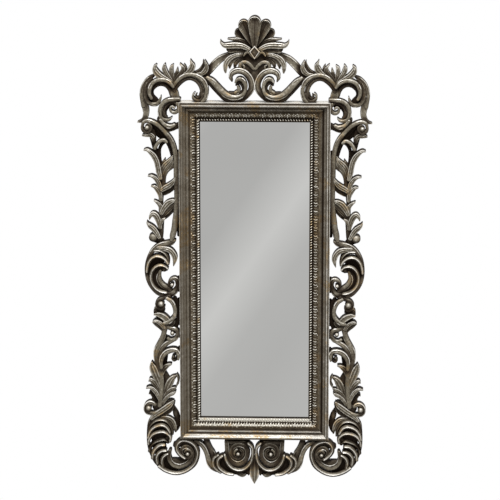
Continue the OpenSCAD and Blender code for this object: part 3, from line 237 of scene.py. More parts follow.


# Painted light and shade: how much paler each side is painted than its relief tells, as light from
# above falls on each side differently, in millimetres of relief, at some distances outward from the sight
# edge
zones_u = (0, 1, 3, 6, 10, 12.5, 20, 26, 31, 35, 40, 44, 51.5, 54, 57, 60, 62)
painted_side_light = {"top": (0, 0, 0, 0, 3, 3, 6, 5, 3, 2, 1, -2, 14, 3, -12, -10, 6),
          "right": (0, 0, 1, 1, 1, 0, 0, 0, 8, 1, -13, 4, -1, 4, -3, 1, 15),
          "bottom": (-12, 16, 19, 22, 19, -16, 6, -4, 4, -9, 19, -12, 9, 7, 6, 3, 3),
          "left": (-4, -5, -5, 10, 10, -2, -1, 4, 3, 1, 2, 1, 0, -1, 1, 0, 11)}


def painted_side_light_at(side, u):
    """How much paler a side is painted as light and shade, u millimetres outward from the sight edge."""
    return np.interp(u, zones_u, painted_side_light[side])


def along_side(side, shares, u, depth):
    """Points at shares -1..1 of a mitred side, u millimetres outward from the sight edge."""
    (ox, oz), (ax, az), half, offset = sides[side]
    run = (half + u) * shares
    return np.stack([ox * (offset + u) + ax * run, -depth + 0 * run, oz * (offset + u) + az * run], -1)


# A side has stations in steps of some millimetres, and one more near each end, as the wash lies dark
# in the joint. Its front wavers in waves of three lengths, but near the joints it was levelled.
station_step, joint_step, levelled_end = 6, 1.2, 4
waver_lengths = (23, 61, 140)
joint_wash = -4
rubbed_per_mm = 3


def mitred_side(name, side, section, waver_mm, material):
    """One side of the frame, from its section. Hand-finished, its front wavers by up to waver_mm, and
    what stands out is worn paler. Each side also gets its own painted light and shade."""
    half = sides[side][2]
    near_end = 1 - joint_step / half
    shares = np.linspace(-1, 1, round(2 * half / station_step) + 1)
    shares = np.sort(np.append(shares, [-near_end, near_end]))[:, None]
    u, depth, relief = np.array(section, float).T
    chance = np.random.default_rng(len(name) * 7 + len(side))
    waver = np.zeros((len(shares), 1))
    for length in waver_lengths:
        wave = np.sin(shares * half / length * 2 * math.pi + chance.uniform(0, 6))
        waver = waver + wave * waver_mm / len(waver_lengths)
    is_front = depth > section[0][1] - 0.5
    is_free = np.abs(shares * (half + u)) < half - levelled_end
    points = along_side(side, shares, u, depth + waver * is_front * is_free)
    piece = solid_piece(name, points.reshape(-1, 3), skin(len(shares), len(section)), material)
    joint = np.where(np.abs(shares) == 1, joint_wash, 0)
    # The relief takes the side's painted light and shade, as well as its wash, joint and wear
    set_relief(piece, (relief + painted_side_light_at(side, u) + joint + waver * rubbed_per_mm).ravel())
    return piece


leafed_moulding = silver_leaf("silver_leaf_on_gessoed_moulding", -7.0, 10.0, 5.0,
                              ["#231a11", "#5f5648", "#7b7468", "#dad6cd"])
for side in sides:
    rail = mitred_side("moulding_" + side, side, moulding_section, 0.35, leafed_moulding)
    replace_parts(rail, "rail_" + side)


# Slip. A narrower wooden section that holds the glass, with a row of composition beads pressed from
# a mould next to the sight edge and a band of small leaves on its slope. It has the same leaf, but
# more of the wash, so the beads and leaf tips stand out pale on dark brown.
slope = bow([12, 28.6], [31.6, 38], 1.6, 12)
slip_section = (
    [[0, glass_front, -13], [0, 22, -8], [0, 26, -2], [0.8, 26.6, -2], [2.1, 26.4, -6], [5.7, 26, -8],
     [9.3, 26.2, -9], [10.5, 26, -10], [11.2, 27.4, -8], [12, 28.6, -6]]
    + [[u, d, -0.5 - 5 * ((u - 20.5) / 8.5) ** 2] for u, d in slope[1:-1]]
    + [[31.6, 38, -6], [33, 37.8, -8], [33, 33, -9], [38, 33, -9], [38, glass_front, -9]])
leafed_slip = silver_leaf("silver_leaf_with_heavy_wash_on_slip", -7.0, 9.0, 8.0,
                          ["#20170e", "#544938", "#857c6b", "#dedacf"])

# A bead's half sizes across and along the row, its slant and its rise; then the row's pitch, its
# distance from the sight edge and its foot's depth; then the relief of a bead's foot and top
bead_across, bead_along, bead_slant, bead_rise = 4.1, 2.7, 0.45, 4.4
bead_pitch, bead_u, bead_foot = 8, 5.7, 25.8
foot_relief, top_relief = -10, 7


def bead_row(side):
    """Slanted beads in a row, like the turns of a rope, as points, faces and relief."""
    count = round(2 * (sides[side][2] + bead_u) / bead_pitch)
    rings, around = 5, 12
    out, way = (np.array([x, 0, z]) for x, z in sides[side][:2])
    points, faces, relief = [], [], []
    for n in range(count):
        middle = along_side(side, np.array([(2 * n + 1) / count - 1]), bead_u, bead_foot)[0]
        first = len(points)
        for ring in range(rings):
            lift = math.radians(90 * ring / rings)
            for k in range(around):
                a = 2 * math.pi * k / around
                u = bead_across * math.cos(lift) * math.cos(a)
                v = bead_along * math.cos(lift) * math.sin(a) - bead_slant * u
                points.append(middle + u * out + v * way + np.array([0, -bead_rise * math.sin(lift), 0]))
                relief.append(foot_relief + (top_relief - foot_relief) * math.sin(lift) ** 2)
        points.append(middle + np.array([0, -bead_rise, 0]))
        relief.append(top_relief)
        for ring in range(rings - 1):
            for k in range(around):
                a, b = first + ring * around + k, first + ring * around + (k + 1) % around
                faces.append([a, b, b + around, a + around])
        last = first + (rings - 1) * around
        faces += [[last + k, last + (k + 1) % around, len(points) - 1] for k in range(around)]
        faces.append([first + k for k in reversed(range(around))])
    # The beads' relief takes the side's painted light and shade too
    return points, faces, painted_side_light_at(side, bead_u) + np.array(relief)


# One repeat of the band as raised lines: half width, lift, and points [along, u] on the slope
leaf_lines = [
    (1.6, 2.3, [[-2.2, 12.8], [-0.4, 15], [0.6, 18.4], [-0.4, 22], [-2.2, 24.6]]),
    (1.4, 1.5, [[6.4, 14], [7.8, 16], [8.4, 18.4], [7.8, 21], [6.4, 23]]),
    (1.4, 1.6, [[-10, 14], [-8.6, 16], [-8, 18.4], [-8.6, 21], [-10, 23]]),
    (1.3, 1.2, [[-6.6, 18.4], [-4, 18.4], [-1, 18.4]]),
    (1.3, 1.0, [[2, 18.4], [4.5, 18.4], [7, 18.4]]),
    (1.5, 1.3, [[1, 25], [4.5, 26.2], [8, 25]]),
    (1.2, 1.0, [[-9, 25], [-6.5, 25.8], [-4, 25]])]
# The leaves' pitch and the distance outward at which it holds, how far their roots lie in the slope,
# and the share of a side at which the mitre cuts them
leaf_pitch, band_u, leaf_root, mitre_end = 25, 20, 0.6, 0.997
# Relief of a leaf's edge and root, and how much its crown has more for each millimetre of lift
edge_relief, root_relief, crown_relief = -4, -6, 4.5


def leaf_band(side):
    """Small leaves that follow each other along the slip's slope, with a bar between them, as points,
    faces and relief."""
    half = sides[side][2]
    count = round(2 * (half + band_u) / leaf_pitch)
    slope_u, slope_depth = np.array(slope).T
    across = np.array([-1, -0.8, -0.4, 0, 0.4, 0.8, 1])
    points, faces, relief = [], [], []
    chance = random.Random(side)
    for n in range(count):
        middle = (n + 0.5 - count / 2) * 2 * (half + band_u) / count
        for half_width, lift, path in leaf_lines:
            # Each leaf takes the side's painted light and shade, and a random tone of its own
            painted_side_light_and_tone = painted_side_light_at(side, np.mean([u for v, u in path])) + chance.uniform(-3, 3)
            line = np.array(path, float)
            way = np.gradient(line, axis=0)
            way /= np.linalg.norm(way, axis=1)[:, None]
            left = np.stack([-way[:, 1], way[:, 0]], -1)
            narrow = np.array([0.5] + [1] * (len(line) - 2) + [0.5])[:, None]
            spot = line[:, None] + left[:, None] * (across * half_width * narrow)[..., None]
            crown = (1 - across ** 2) ** 0.5 * narrow
            ground = np.interp(spot[..., 1], slope_u, slope_depth)
            share = np.clip((middle + spot[..., 0]) / (half + spot[..., 1]), -mitre_end, mitre_end)
            top = along_side(side, share, spot[..., 1], ground + crown * lift)
            root = along_side(side, share[:, [-1, 0]], spot[:, [-1, 0], 1], ground[:, [-1, 0]] - leaf_root)
            faces += [[len(points) + v for v in f] for f in skin(len(line), len(across) + 2)]
            points += list(np.concatenate([top, root], 1).reshape(-1, 3))
            tops = painted_side_light_and_tone + edge_relief + crown_relief * crown ** 1.5 * lift
            relief += np.concatenate([tops, np.full((len(line), 2), root_relief)], 1).ravel().tolist()
    return points, faces, relief


for side in sides:
    slip = mitred_side("slip_" + side, side, slip_section, 0.0, leafed_slip)
    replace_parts(slip, "bead_slip_" + side)
    for name, made in (("beads_", bead_row(side)), ("leaf_band_", leaf_band(side))):
        points, faces, relief = made
        ornament = solid_piece(name + side, points, faces, leafed_slip)
        set_relief(ornament, relief)


# Mirror glass. Silvered float glass 4 mm thick. Its silver lies on the back, so it reflects the room a
# little darker and cooler than it is, and its face is flat to the eye.
mirror = new_material("silvered_float_glass")
place = node(mirror, "ShaderNodeTexCoord").outputs["Object"]
cloud = node(mirror, "ShaderNodeTexNoise", {
    "Vector": place, "Scale": scale_for(263.16), "Detail": 1.0})
tint = node(mirror, "ShaderNodeMixRGB", {
    "Fac": cloud, "Color1": colour("#c3c3c1"), "Color2": colour("#c9c9c7")})
wave = node(mirror, "ShaderNodeBump", {"Distance": 0.000002, "Height": cloud})
shader = node(mirror, "ShaderNodeBsdfPrincipled", {
    "Base Color": tint, "Metallic": 1.0, "Roughness": 0.015, "Normal": wave})
node(mirror, "ShaderNodeOutputMaterial", {"Surface": shader})


def coat(material, *nodes):
    """Gives carried-over CAD nodes their material."""
    for name in nodes:
        shape = cad[name].data
        shape.materials.clear()
        shape.materials.append(material)


coat(mirror, "mirror_glass")


# Backing card and backboard. Grey pulp board lies against the silver so that nothing scratches it,
# and a sheet of hardboard, smooth side out, closes the rebate. Pressed fibres show in both; they are
# drawn over a millimetre thick, as the real ones are too fine to show.
card = new_material("grey_pulp_board")
place = node(card, "ShaderNodeTexCoord").outputs["Object"]
fibre = node(card, "ShaderNodeTexNoise", {
    "Vector": place, "Scale": scale_for(1.1111), "Detail": 5.0, "Roughness": 0.7})
shade = node(card, "ShaderNodeValToRGB", {"Fac": fibre}, stops=[(0.3, "#8d897f"), (0.7, "#aaa69b")])
pressed = node(card, "ShaderNodeBump", {"Distance": 0.00008, "Height": fibre})
shader = node(card, "ShaderNodeBsdfPrincipled", {
    "Base Color": shade, "Roughness": 0.92, "Normal": pressed})
node(card, "ShaderNodeOutputMaterial", {"Surface": shader})
coat(card, "backing_card")

hardboard = new_material("tempered_hardboard")
place = node(hardboard, "ShaderNodeTexCoord").outputs["Object"]
fibre = node(hardboard, "ShaderNodeTexNoise", {
    "Vector": place, "Scale": scale_for(1.6129), "Detail": 6.0, "Roughness": 0.75})
cloud = node(hardboard, "ShaderNodeTexNoise", {"Vector": place, "Scale": scale_for(125)})
shade = node(hardboard, "ShaderNodeValToRGB", {"Fac": fibre}, stops=[(0.25, "#5b4128"), (0.75, "#8a6845")])
oiled = node(hardboard, "ShaderNodeMapRange", {
    "Value": cloud, "From Min": 0.35, "From Max": 0.7, "To Max": 0.5})
aged = node(hardboard, "ShaderNodeMixRGB", {"Fac": oiled, "Color1": shade, "Color2": colour("#6b4e31")})
sheen = node(hardboard, "ShaderNodeMapRange", {
    "Value": cloud, "From Min": 0.3, "From Max": 0.7, "To Min": 0.48, "To Max": 0.62})
pressed = node(hardboard, "ShaderNodeBump", {"Distance": 0.00005, "Height": fibre})
shader = node(hardboard, "ShaderNodeBsdfPrincipled", {
    "Base Color": aged, "Roughness": sheen, "Normal": pressed})
node(hardboard, "ShaderNodeOutputMaterial", {"Surface": shader})
coat(hardboard, "backboard")


# Steel fittings on the back: turn buttons that hold the board in, D-rings on their plates, corner
# plates over the mitres and all the screws. Pressed sheet and drawn wire, bright zinc plated, which
# gives a cold sheen with drawn lines, here three to a millimetre to show, and duller handled spots.
zinc = new_material("bright_zinc_plate")
place = node(zinc, "ShaderNodeTexCoord").outputs["Object"]
drawn = node(zinc, "ShaderNodeMapping", {
    "Vector": place, "Scale": (scale_for(2.5), scale_for(2.5), scale_for(0.33333))})
lines = node(zinc, "ShaderNodeTexNoise", {"Vector": drawn, "Scale": 1.0, "Detail": 3.0})
spots = node(zinc, "ShaderNodeTexNoise", {"Vector": place, "Scale": scale_for(9.0909), "Detail": 3.0})
shade = node(zinc, "ShaderNodeValToRGB", {"Fac": spots}, stops=[(0.3, "#9c9b98"), (0.62, "#cbcac5")])
handled = node(zinc, "ShaderNodeMapRange", {
    "Value": spots, "From Min": 0.3, "From Max": 0.7, "To Min": 0.46, "To Max": 0.3})
scored = node(zinc, "ShaderNodeBump", {"Distance": 0.00001, "Height": lines})
shader = node(zinc, "ShaderNodeBsdfPrincipled", {
    "Base Color": shade, "Metallic": 1.0, "Roughness": handled, "Normal": scored})
node(zinc, "ShaderNodeOutputMaterial", {"Surface": shader})
coat(zinc, *["turn_button_%d" % n for n in range(1, 9)], "turn_button_screws", "corner_plates",
     "corner_plate_screws", "hanger_screws", "hanger_plate_left", "hanger_plate_right",
     "hanger_ring_left", "hanger_ring_right")


# Wall pads. Moulded rubber discs under the moulding's back that keep it off the wall; matt, with dust.
rubber = new_material("moulded_rubber")
place = node(rubber, "ShaderNodeTexCoord").outputs["Object"]
dust = node(rubber, "ShaderNodeTexNoise", {"Vector": place, "Scale": scale_for(3.5714), "Detail": 4.0})
shade = node(rubber, "ShaderNodeValToRGB", {"Fac": dust}, stops=[(0.35, "#1f1e1d"), (0.8, "#45433f")])
grainy = node(rubber, "ShaderNodeBump", {"Distance": 0.00006, "Height": dust})
shader = node(rubber, "ShaderNodeBsdfPrincipled", {
    "Base Color": shade, "Roughness": 0.85, "Normal": grainy})
node(rubber, "ShaderNodeOutputMaterial", {"Surface": shader})
coat(rubber, "wall_pads")


# Dowels. Fluted beech pegs 6 mm thick, glued across the joint between moulding and carving; the
# wood is pale pink-brown with a short grain along the peg, a little coarser than the real one.
beech = new_material("plain_beech")
place = node(beech, "ShaderNodeTexCoord").outputs["Object"]
along = node(beech, "ShaderNodeMapping", {
    "Vector": place, "Scale": (scale_for(8.3333), scale_for(1.1111), scale_for(1.1111))})
grain = node(beech, "ShaderNodeTexNoise", {"Vector": along, "Scale": 1.0, "Detail": 4.0})
shade = node(beech, "ShaderNodeValToRGB", {"Fac": grain}, stops=[(0.3, "#a88257"), (0.7, "#cfae80")])
open_grain = node(beech, "ShaderNodeBump", {"Distance": 0.00005, "Height": grain})
shader = node(beech, "ShaderNodeBsdfPrincipled", {
    "Base Color": shade, "Roughness": 0.6, "Normal": open_grain})
node(beech, "ShaderNodeOutputMaterial", {"Surface": shader})
coat(beech, "carving_dowels")


# Carving. Pierced scrolls, leaves and ribbons cast in composition from a carved pattern, pinned
# round the moulding's outside with dowels, then leafed and washed as the moulding is. The pattern
# was cut in strokes, each with the form of one tool.
leafed_carving = silver_leaf("silver_leaf_on_cast_carving", -12.0, 3.5, 4.5,
                             ["#1f160d", "#463d31", "#7d7666", "#e6e2da"])

# Depths from the wall: the carving's back, the level of a stroke of height 1, and how much further
# back one of height 0 would lie
carving_back, front_most, reach_back = 12, 50, 45
# The depth that a form has at most, the least half width of a stroke, and its least thickness
deepest, narrowest, thinnest = 8, 0.8, 3


def both_ways(*shares):
    """Shares of the half width from -1 over 0 to 1, from those of one side, outermost first."""
    return np.array([-share for share in shares] + [0] + list(shares[::-1]))


# Where each form has its columns of points across a stroke, as shares of its half width
forms = {
    "rib": both_ways(1, .97, .92, .85, .76, .66, .55, .42, .22),
    "leaf": np.array([-1, -.94, -.84, -.7, -.54, -.4, -.3, -.2, -.08, .06, .18, .28, .38, .52, .68, .84,
                      .94, 1]),
    "band": both_ways(1, .94, .86, .78, .68, .55, .3),
    "flute": both_ways(1, .95, .85, .7, .55, .42, .3, .2, .1),
    "coil": np.array([-1, -.95, -.88, -.8, -.72, -.62, -.45, -.2, .1, .4, .65, .82, .93, 1]),
    "lobe": np.linspace(-1, 1, 35),
    "ground": np.sin(np.radians(np.linspace(-90, 90, 13)))}
# Angles of the rings of points round a stroke's ends
round_end, lobe_end = [22, 42, 60, 75, 86], [20, 36, 48, 57, 64, 70, 76, 82, 88]


def ridge(value, middle, width):
    """A rounded ridge, 1 at its middle and gone at about twice its width from there."""
    return np.exp(-((value - middle) / width) ** 2)


def form_height(kind, s, cap, along, half_width, bend):
    """Millimetres that a form's face stands in front of its own level, and how much paler (in
    millimetres of relief) it is worn than its height tells. s goes -1..1 across the form, cap 0..1
    into its round end, and along 0..1 from its start to its end; bend is 1 where it turns sharply
    left and -1 where it turns sharply right."""
    rho = np.sqrt(cap ** 2 + s ** 2 * (1 - cap ** 2))
    round_off = 1 - np.sqrt(np.maximum(1 - rho ** 2, 0))
    deep = np.minimum(half_width, deepest)
    # A round rib; a broad one has a groove and a rubbed rim along the outer side of a bend
    if kind == "rib":
        outer = np.where(s < 0, np.maximum(bend, 0), np.maximum(-bend, 0)) * (1 - cap) * (half_width > 6)
        groove = outer * ridge(np.abs(s), 1 - 4.4 / half_width, 1.5 / half_width)
        rim = outer * ridge(np.abs(s), 1 - 1.2 / half_width, 1.6 / half_width)
        return -deep * (0.6 * round_off ** 1.4 + 0.25 * groove), 7 * rim - 4 * groove - 2.5
    # A coil's turn, that falls from its left to a rim on its right
    if kind == "coil":
        edge = ridge(s, -0.8, 0.13) * (1 - cap)
        return -deep * (0.25 * (1 - s) + 0.6 * round_off ** 3) + 2.4 * edge, 5 * edge - 3.5
    # A hollowed leaf with a rim, a spine and a vein, two if it is broad, that lifts towards its tip
    if kind == "leaf":
        veins = ridge(s, -0.3, 0.08) * (half_width > 7) + ridge(s, 0.38, 0.08)
        rim, spine = ridge(np.abs(s), 0.84, 0.13), ridge(s, 0.06, 0.1)
        lift = 3.5 * along - 2 - 3 * np.maximum(along - 0.85, 0) / 0.15
        hollow = 0.24 * (1 - rim) * (np.abs(s) < 0.84) - 0.14 * spine + 0.10 * veins
        return (lift - deep * (0.75 * round_off ** 1.5 + hollow * (1 - cap)),
                4.5 * rim + 1.5 * spine - 1.5 * veins - 2)
    # A ribbon with a shallow channel between two edges
    if kind == "band":
        channel = 0.30 * (1 - ridge(np.abs(s), 0.8, 0.2)) * (np.abs(s) < 0.8)
        return -deep * (0.75 * round_off ** 2 + channel * (1 - cap)), 0 * rho - 1.5
    # A flute's narrow crest, with a hollow on both sides
    if kind == "flute":
        crest_line = ridge(s * half_width, 0, 2.2) * (1 - cap ** 2)
        return -deep * (0.8 * (1 - crest_line) + 0.25 * (rho > 0.9)), -1.5 * (1 - crest_line)
    # A shell's cupped lobe, with rays along it and a double rim round its fan end
    if kind == "lobe":
        fan = np.clip(along * 2.5 - 0.9, 0, 1) * (cap > 0)
        outer, between, inner = ridge(rho, 0.92, 0.05), ridge(rho, 0.83, 0.04), ridge(rho, 0.75, 0.04)
        rim = (2.2 * outer - 1.6 * between + 1.4 * inner) * fan
        fine = sum(ridge(np.abs(s), share, 0.06) for share in (0.24, 0.48, 0.72))
        rays = (1.4 * fine + 1.1 * ridge(np.abs(s), 0.97, 0.07)) * (1 - cap)
        edge = 9 * np.maximum(rho - 0.95, 0) / 0.05 * (cap > 0)
        return 4 * rho ** 2 - 5 + rim + rays - edge, 2.4 * (rim + rays) - 4.2
    # Ground between the others, almost flat
    return -0.35 * deep * round_off, 0 * rho - 1


# Millimetres between a stroke's rows, the radius at which its turn counts as sharp, and the number
# of rows over which that is averaged
row_step, sharp_turn, turn_rows = 1.9, 35, 7


def line_through(stations):
    """A smooth line through the stations, in steps of about row_step millimetres."""
    p = np.array(stations, float)
    p = np.vstack([2 * p[0] - p[1], p, 2 * p[-1] - p[-2]])
    runs = []
    for a, b, c, d in zip(p, p[1:], p[2:], p[3:]):
        t = np.linspace(0, 1, max(3, int(np.hypot(*(c - b)[:2]) / row_step) + 1))[:-1, None]
        runs.append((2 * b + (c - a) * t + (2 * a - 5 * b + 4 * c - d) * t ** 2
                     + (3 * b - a - 3 * c + d) * t ** 3) / 2)
    return np.vstack(runs + [p[-2:-1]])


def stroke_front(kind, height, stations):
    """The face of a stroke as a grid of points x, depth, z, rows along it and columns across it, and
    the grid of its tone."""
    line = line_through(stations)
    way = np.gradient(line[:, :2], axis=0)
    stride = np.linalg.norm(way, axis=1)
    way /= stride[:, None] + 1e-9
    swing = np.gradient(np.unwrap(np.arctan2(way[:, 1], way[:, 0]))) / (stride + 1e-9)
    swing = np.convolve(np.pad(swing, turn_rows // 2, mode="edge"), np.ones(turn_rows) / turn_rows, "valid")
    bend = np.clip(swing * sharp_turn, -1, 1)
    wide = np.maximum(line[:, 2], narrowest)
    into = np.radians(lobe_end if kind == "lobe" else round_end)

    # The rows of its two round ends are added before and after those of its line
    def with_ends(at_start, rows, at_end):
        return np.concatenate([(at_start * np.ones(len(into)))[::-1], rows, at_end * np.ones(len(into))])

    start = line[0, :2] - np.outer(np.sin(into), way[0] * wide[0])
    end = line[-1, :2] + np.outer(np.sin(into), way[-1] * wide[-1])
    middle = np.vstack([start[::-1], line[:, :2], end])
    ways = np.vstack([np.repeat(way[:1], len(into), 0), way, np.repeat(way[-1:], len(into), 0)])
    left = np.stack([-ways[:, 1], ways[:, 0]], -1)
    widths = with_ends(wide[0] * np.cos(into), wide, wide[-1] * np.cos(into))
    s = forms[kind][None, :]
    xz = middle[:, None, :] + left[:, None, :] * (s * widths[:, None])[..., None]

    cap = with_ends(np.sin(into), np.zeros(len(line)), np.sin(into))
    along = with_ends(0, np.linspace(0, 1, len(line)), 1)
    full = with_ends(wide[0], wide, wide[-1])
    bend = with_ends(bend[0], bend, bend[-1])
    rise, tone = form_height(kind, s, *(rows[:, None] for rows in (cap, along, full, bend)))
    depth = front_most - reach_back * (1 - height) + rise
    return np.stack([xz[..., 0], np.maximum(depth, carving_back + thinnest), xz[..., 1]], -1), tone


def ball_front(height, station):
    """The rounded face of a ball or disc as a grid of points, rings from its top to its edge. It
    stands a millimetre in front of a stroke of its height."""
    x, z, r = station
    lift = np.radians(np.linspace(88, 2, 9))[:, None]
    around = np.linspace(0, 2 * math.pi, 25)[None, :]
    top = front_most + 1 - reach_back * (1 - height)
    reach = r * np.cos(lift)
    depth = top - 0.95 * min(r, 10) * (1 - np.sin(lift))
    return np.stack([x + reach * np.cos(around), depth + 0 * around, z + reach * np.sin(around)], -1)


def stroke_solid(kind, height, stations, behind):
    """A stroke as points, faces, its face's grid and each point's tone. Its sides run back to the
    depth behind, and its back is a little narrower than its face."""
    if kind == "ball":
        face = ball_front(height, stations[0])
        back = face[-1:].copy()
        back[..., 1] = behind
        loops = np.concatenate([face, back])[:, :-1]
        points = loops.reshape(-1, 3)
        return points, skin(*loops.shape[:2]), face, np.full(len(points), -1.5)
    face, tone = stroke_front(kind, height, stations)
    edges = face[:, [-1, 0]]
    middle = (face[:, :1] + face[:, -1:]) / 2
    back = middle + (edges - middle) * 0.93
    back[..., 1] = behind
    halfway = edges.copy()
    halfway[..., 1] = (edges[..., 1] + behind) / 2
    ring = np.concatenate([face, halfway[:, :1], back, halfway[:, 1:]], 1)
    tones = np.concatenate([tone, np.zeros((len(ring), 4))], 1)
    return ring.reshape(-1, 3), skin(*ring.shape[:2]), face, tones.ravel()


# The strokes of each piece, on the right-hand half: form, height as a share, and stations [x, z, half
# width] in millimetres along the middle. The left half is the mirror of the right one.
carved = {}

# Shell at the top of the crest: five lobes that fan out above the diamond boss
carved["crest_shell"] = [
    ("lobe", 1, [[0, 694, 7], [0, 728, 14], [0, 760, 20]]),
    ("lobe", 0.9, [[4, 694, 6], [19, 724, 12], [32, 752, 17]]),
    ("lobe", 0.75, [[8, 692, 6], [28, 710, 11], [46, 728, 14]])]

# Leaves that spread to both sides from under the shell, with a curl at their foot
carved["crest_leaves"] = [
    ("ground", 0.68, [[0, 704, 12], [0, 684, 22], [0, 660, 30], [0, 640, 26], [0, 622, 14]]),
    ("ground", 0.62, [[12, 650, 14], [30, 655, 10], [48, 656, 10], [64, 652, 9]]),
    ("leaf", 0.8, [[14, 690, 5], [30, 700, 8], [48, 708, 7], [64, 710, 4], [79, 711, 1.5]]),
    ("leaf", 1, [[18, 683, 6], [36, 691, 8], [56, 693, 9], [75, 692, 9], [90, 693, 6], [99, 701, 3],
     [101, 707, 1]]),
    ("leaf", 0.85, [[24, 672, 5], [42, 678, 8], [60, 679, 8], [74, 676, 6], [82, 680, 2]]),
    ("rib", 0.9, [[1, 655, 2.5], [9, 662, 3], [16, 670, 3], [22, 672, 3.5], [28, 668, 3], [32, 662, 1.5]]),
    ("leaf", 0.85, [[38, 665, 5], [58, 662, 6], [75, 652, 8], [85, 637, 8], [87, 622, 6], [86, 612, 3]]),
    ("leaf", 0.75, [[36, 660, 5], [54, 655, 6], [67, 646, 7], [73, 634, 6], [74, 625, 3]]),
    ("leaf", 0.7, [[32, 655, 5], [46, 649, 6], [56, 638, 7], [59, 628, 4]]),
    ("rib", 0.8, [[3, 622, 4], [13, 634, 5], [26, 642, 5], [38, 640, 5], [44, 630, 5], [40, 621, 4],
     [33, 621, 3], [30, 628, 2.5], [34, 633, 2]]),
    ("ground", 0.66, [[8, 612, 8], [20, 622, 12], [34, 630, 10]])]

# Scroll beside the crest's foot, and the ribbon that runs from the crest to the arch
carved["crest_scroll"] = [
    ("band", 0.75, [[54, 667, 4], [76, 663, 7], [98, 652, 10], [114, 639, 11], [127, 625, 11],
     [137, 612, 10], [145, 603, 8], [158, 602, 5], [174, 604, 3]]),
    ("rib", 0.85, [[67, 586, 2.5], [71, 597, 6], [66, 609, 8], [50, 616, 9], [32, 612, 9], [18, 599, 9.5],
     [10, 581, 9.5], [9.5, 563, 9.5], [19, 546, 8], [34, 533, 8], [50, 528, 7], [70, 527, 6], [88, 531, 6],
     [103, 545, 6], [118, 561, 6], [132, 577, 6], [146, 592, 6]]),
    ("rib", 1, [[57, 583, 2.5], [50, 591, 5], [40, 592, 6], [31, 584, 6], [26, 570, 5], [28, 556, 5],
     [35, 545, 6], [48, 538, 7], [66, 537, 8], [84, 544, 9], [99, 557, 9], [112, 571, 9], [125, 585, 8],
     [139, 596, 5]]),
    ("rib", 0.85, [[55, 574, 2.5], [48, 580, 4], [39, 577, 5], [34, 567, 5], [34, 556, 5], [41, 547, 6],
     [52, 544, 7], [66, 547, 5], [76, 550, 2]]),
    ("rib", 0.95, [[50, 571, 3], [47, 563, 5], [48, 555, 6], [56, 550, 6]]),
    ("ground", 0.7, [[4, 622, 7], [4, 602, 6], [3, 585, 4]])]

# Arch over the corner, with flame-like leaves on its back
carved["top_arch"] = [
    ("ground", 0.62, [[250, 560, 6], [262, 574, 6], [278, 580, 8], [296, 574, 10], [308, 556, 9],
     [308, 538, 9], [296, 524, 9]]),
    ("rib", 0.8, [[298, 600, 3], [310, 593, 6], [323, 580, 7], [332, 563, 7], [336, 545, 6], [335, 526, 5],
     [331, 508, 6]]),
    ("rib", 0.85, [[304, 592, 3], [314, 580, 6], [321, 564, 6], [324, 546, 6], [321, 529, 6], [313, 518, 6],
     [302, 514, 6], [291, 515, 6], [284, 522, 5], [280, 531, 3], [279, 538, 1.5]]),
    ("rib", 1, [[241, 568, 4], [251, 580, 6], [263, 587, 6], [278, 589, 6], [292, 586, 6], [304, 577, 6],
     [311, 562, 6], [312, 546, 5], [306, 533, 4]]),
    ("rib", 0.8, [[247, 543, 6], [252, 558, 6], [262, 570, 6], [276, 575, 6], [290, 572, 6],
     [300, 563, 5]]),
    ("band", 0.8, [[322, 536, 8], [327, 515, 10], [324, 500, 10], [323, 486, 9], [327, 472, 8],
     [336, 463, 5], [348, 460, 1.5]]),
    ("band", 0.85, [[240, 566, 6], [238, 550, 11], [236, 538, 12], [232, 524, 10], [226, 513, 8],
     [220, 504, 5]]),
    ("rib", 0.95, [[241, 568, 4], [232, 582, 5], [220, 594, 6], [206, 602, 6], [190, 605, 6], [174, 602, 6],
     [160, 594, 7], [149, 582, 7], [143, 566, 6], [142, 550, 6], [146, 534, 6], [155, 523, 5]]),
    ("rib", 0.84, [[238, 556, 6], [230, 572, 8], [218, 584, 8], [204, 592, 7], [190, 594, 7], [176, 589, 7],
     [165, 579, 7], [158, 566, 7], [155, 552, 7], [155, 540, 6]]),
    ("rib", 0.85, [[152, 545, 6], [155, 531, 6], [164, 525, 5], [174, 526, 5], [182, 533, 4], [183, 542, 3],
     [178, 549, 2]]),
    ("rib", 0.75, [[161, 547, 4], [163, 537, 5], [170, 533, 4], [175, 539, 3], [172, 545, 2]]),
    ("leaf", 1, [[248, 584, 4], [266, 593, 7], [282, 602, 9], [293, 614, 9], [296, 625, 6], [292, 632, 3]]),
    ("leaf", 0.95, [[243, 580, 4], [254, 596, 6], [263, 610, 7], [268, 623, 7], [266, 634, 2.5]]),
    ("leaf", 0.9, [[240, 576, 4], [244, 598, 6], [247, 614, 7], [246, 625, 6], [242, 632, 2.5]]),
    ("leaf", 0.8, [[239, 576, 4], [236, 594, 5], [231, 608, 6], [229, 622, 2]]),
    ("leaf", 0.85, [[238, 580, 4], [228, 596, 6], [217, 608, 7], [212, 621, 6], [216, 630, 3],
     [221, 636, 1.5]]),
    ("leaf", 0.8, [[224, 596, 4], [212, 606, 6], [205, 618, 5], [206, 628, 3], [209, 634, 1.5]]),
    ("leaf", 0.95, [[212, 602, 4], [198, 610, 7], [188, 620, 10], [184, 631, 8], [187, 640, 4],
     [190, 648, 1.5]]),
    ("leaf", 0.8, [[184, 606, 4], [168, 611, 6], [156, 618, 9], [151, 630, 7], [151, 640, 3],
     [152, 646, 1.5]]),
    ("leaf", 0.95, [[172, 605, 4], [156, 608, 6], [146, 617, 8], [142, 629, 6], [144, 639, 3],
     [147, 646, 1.5]])]

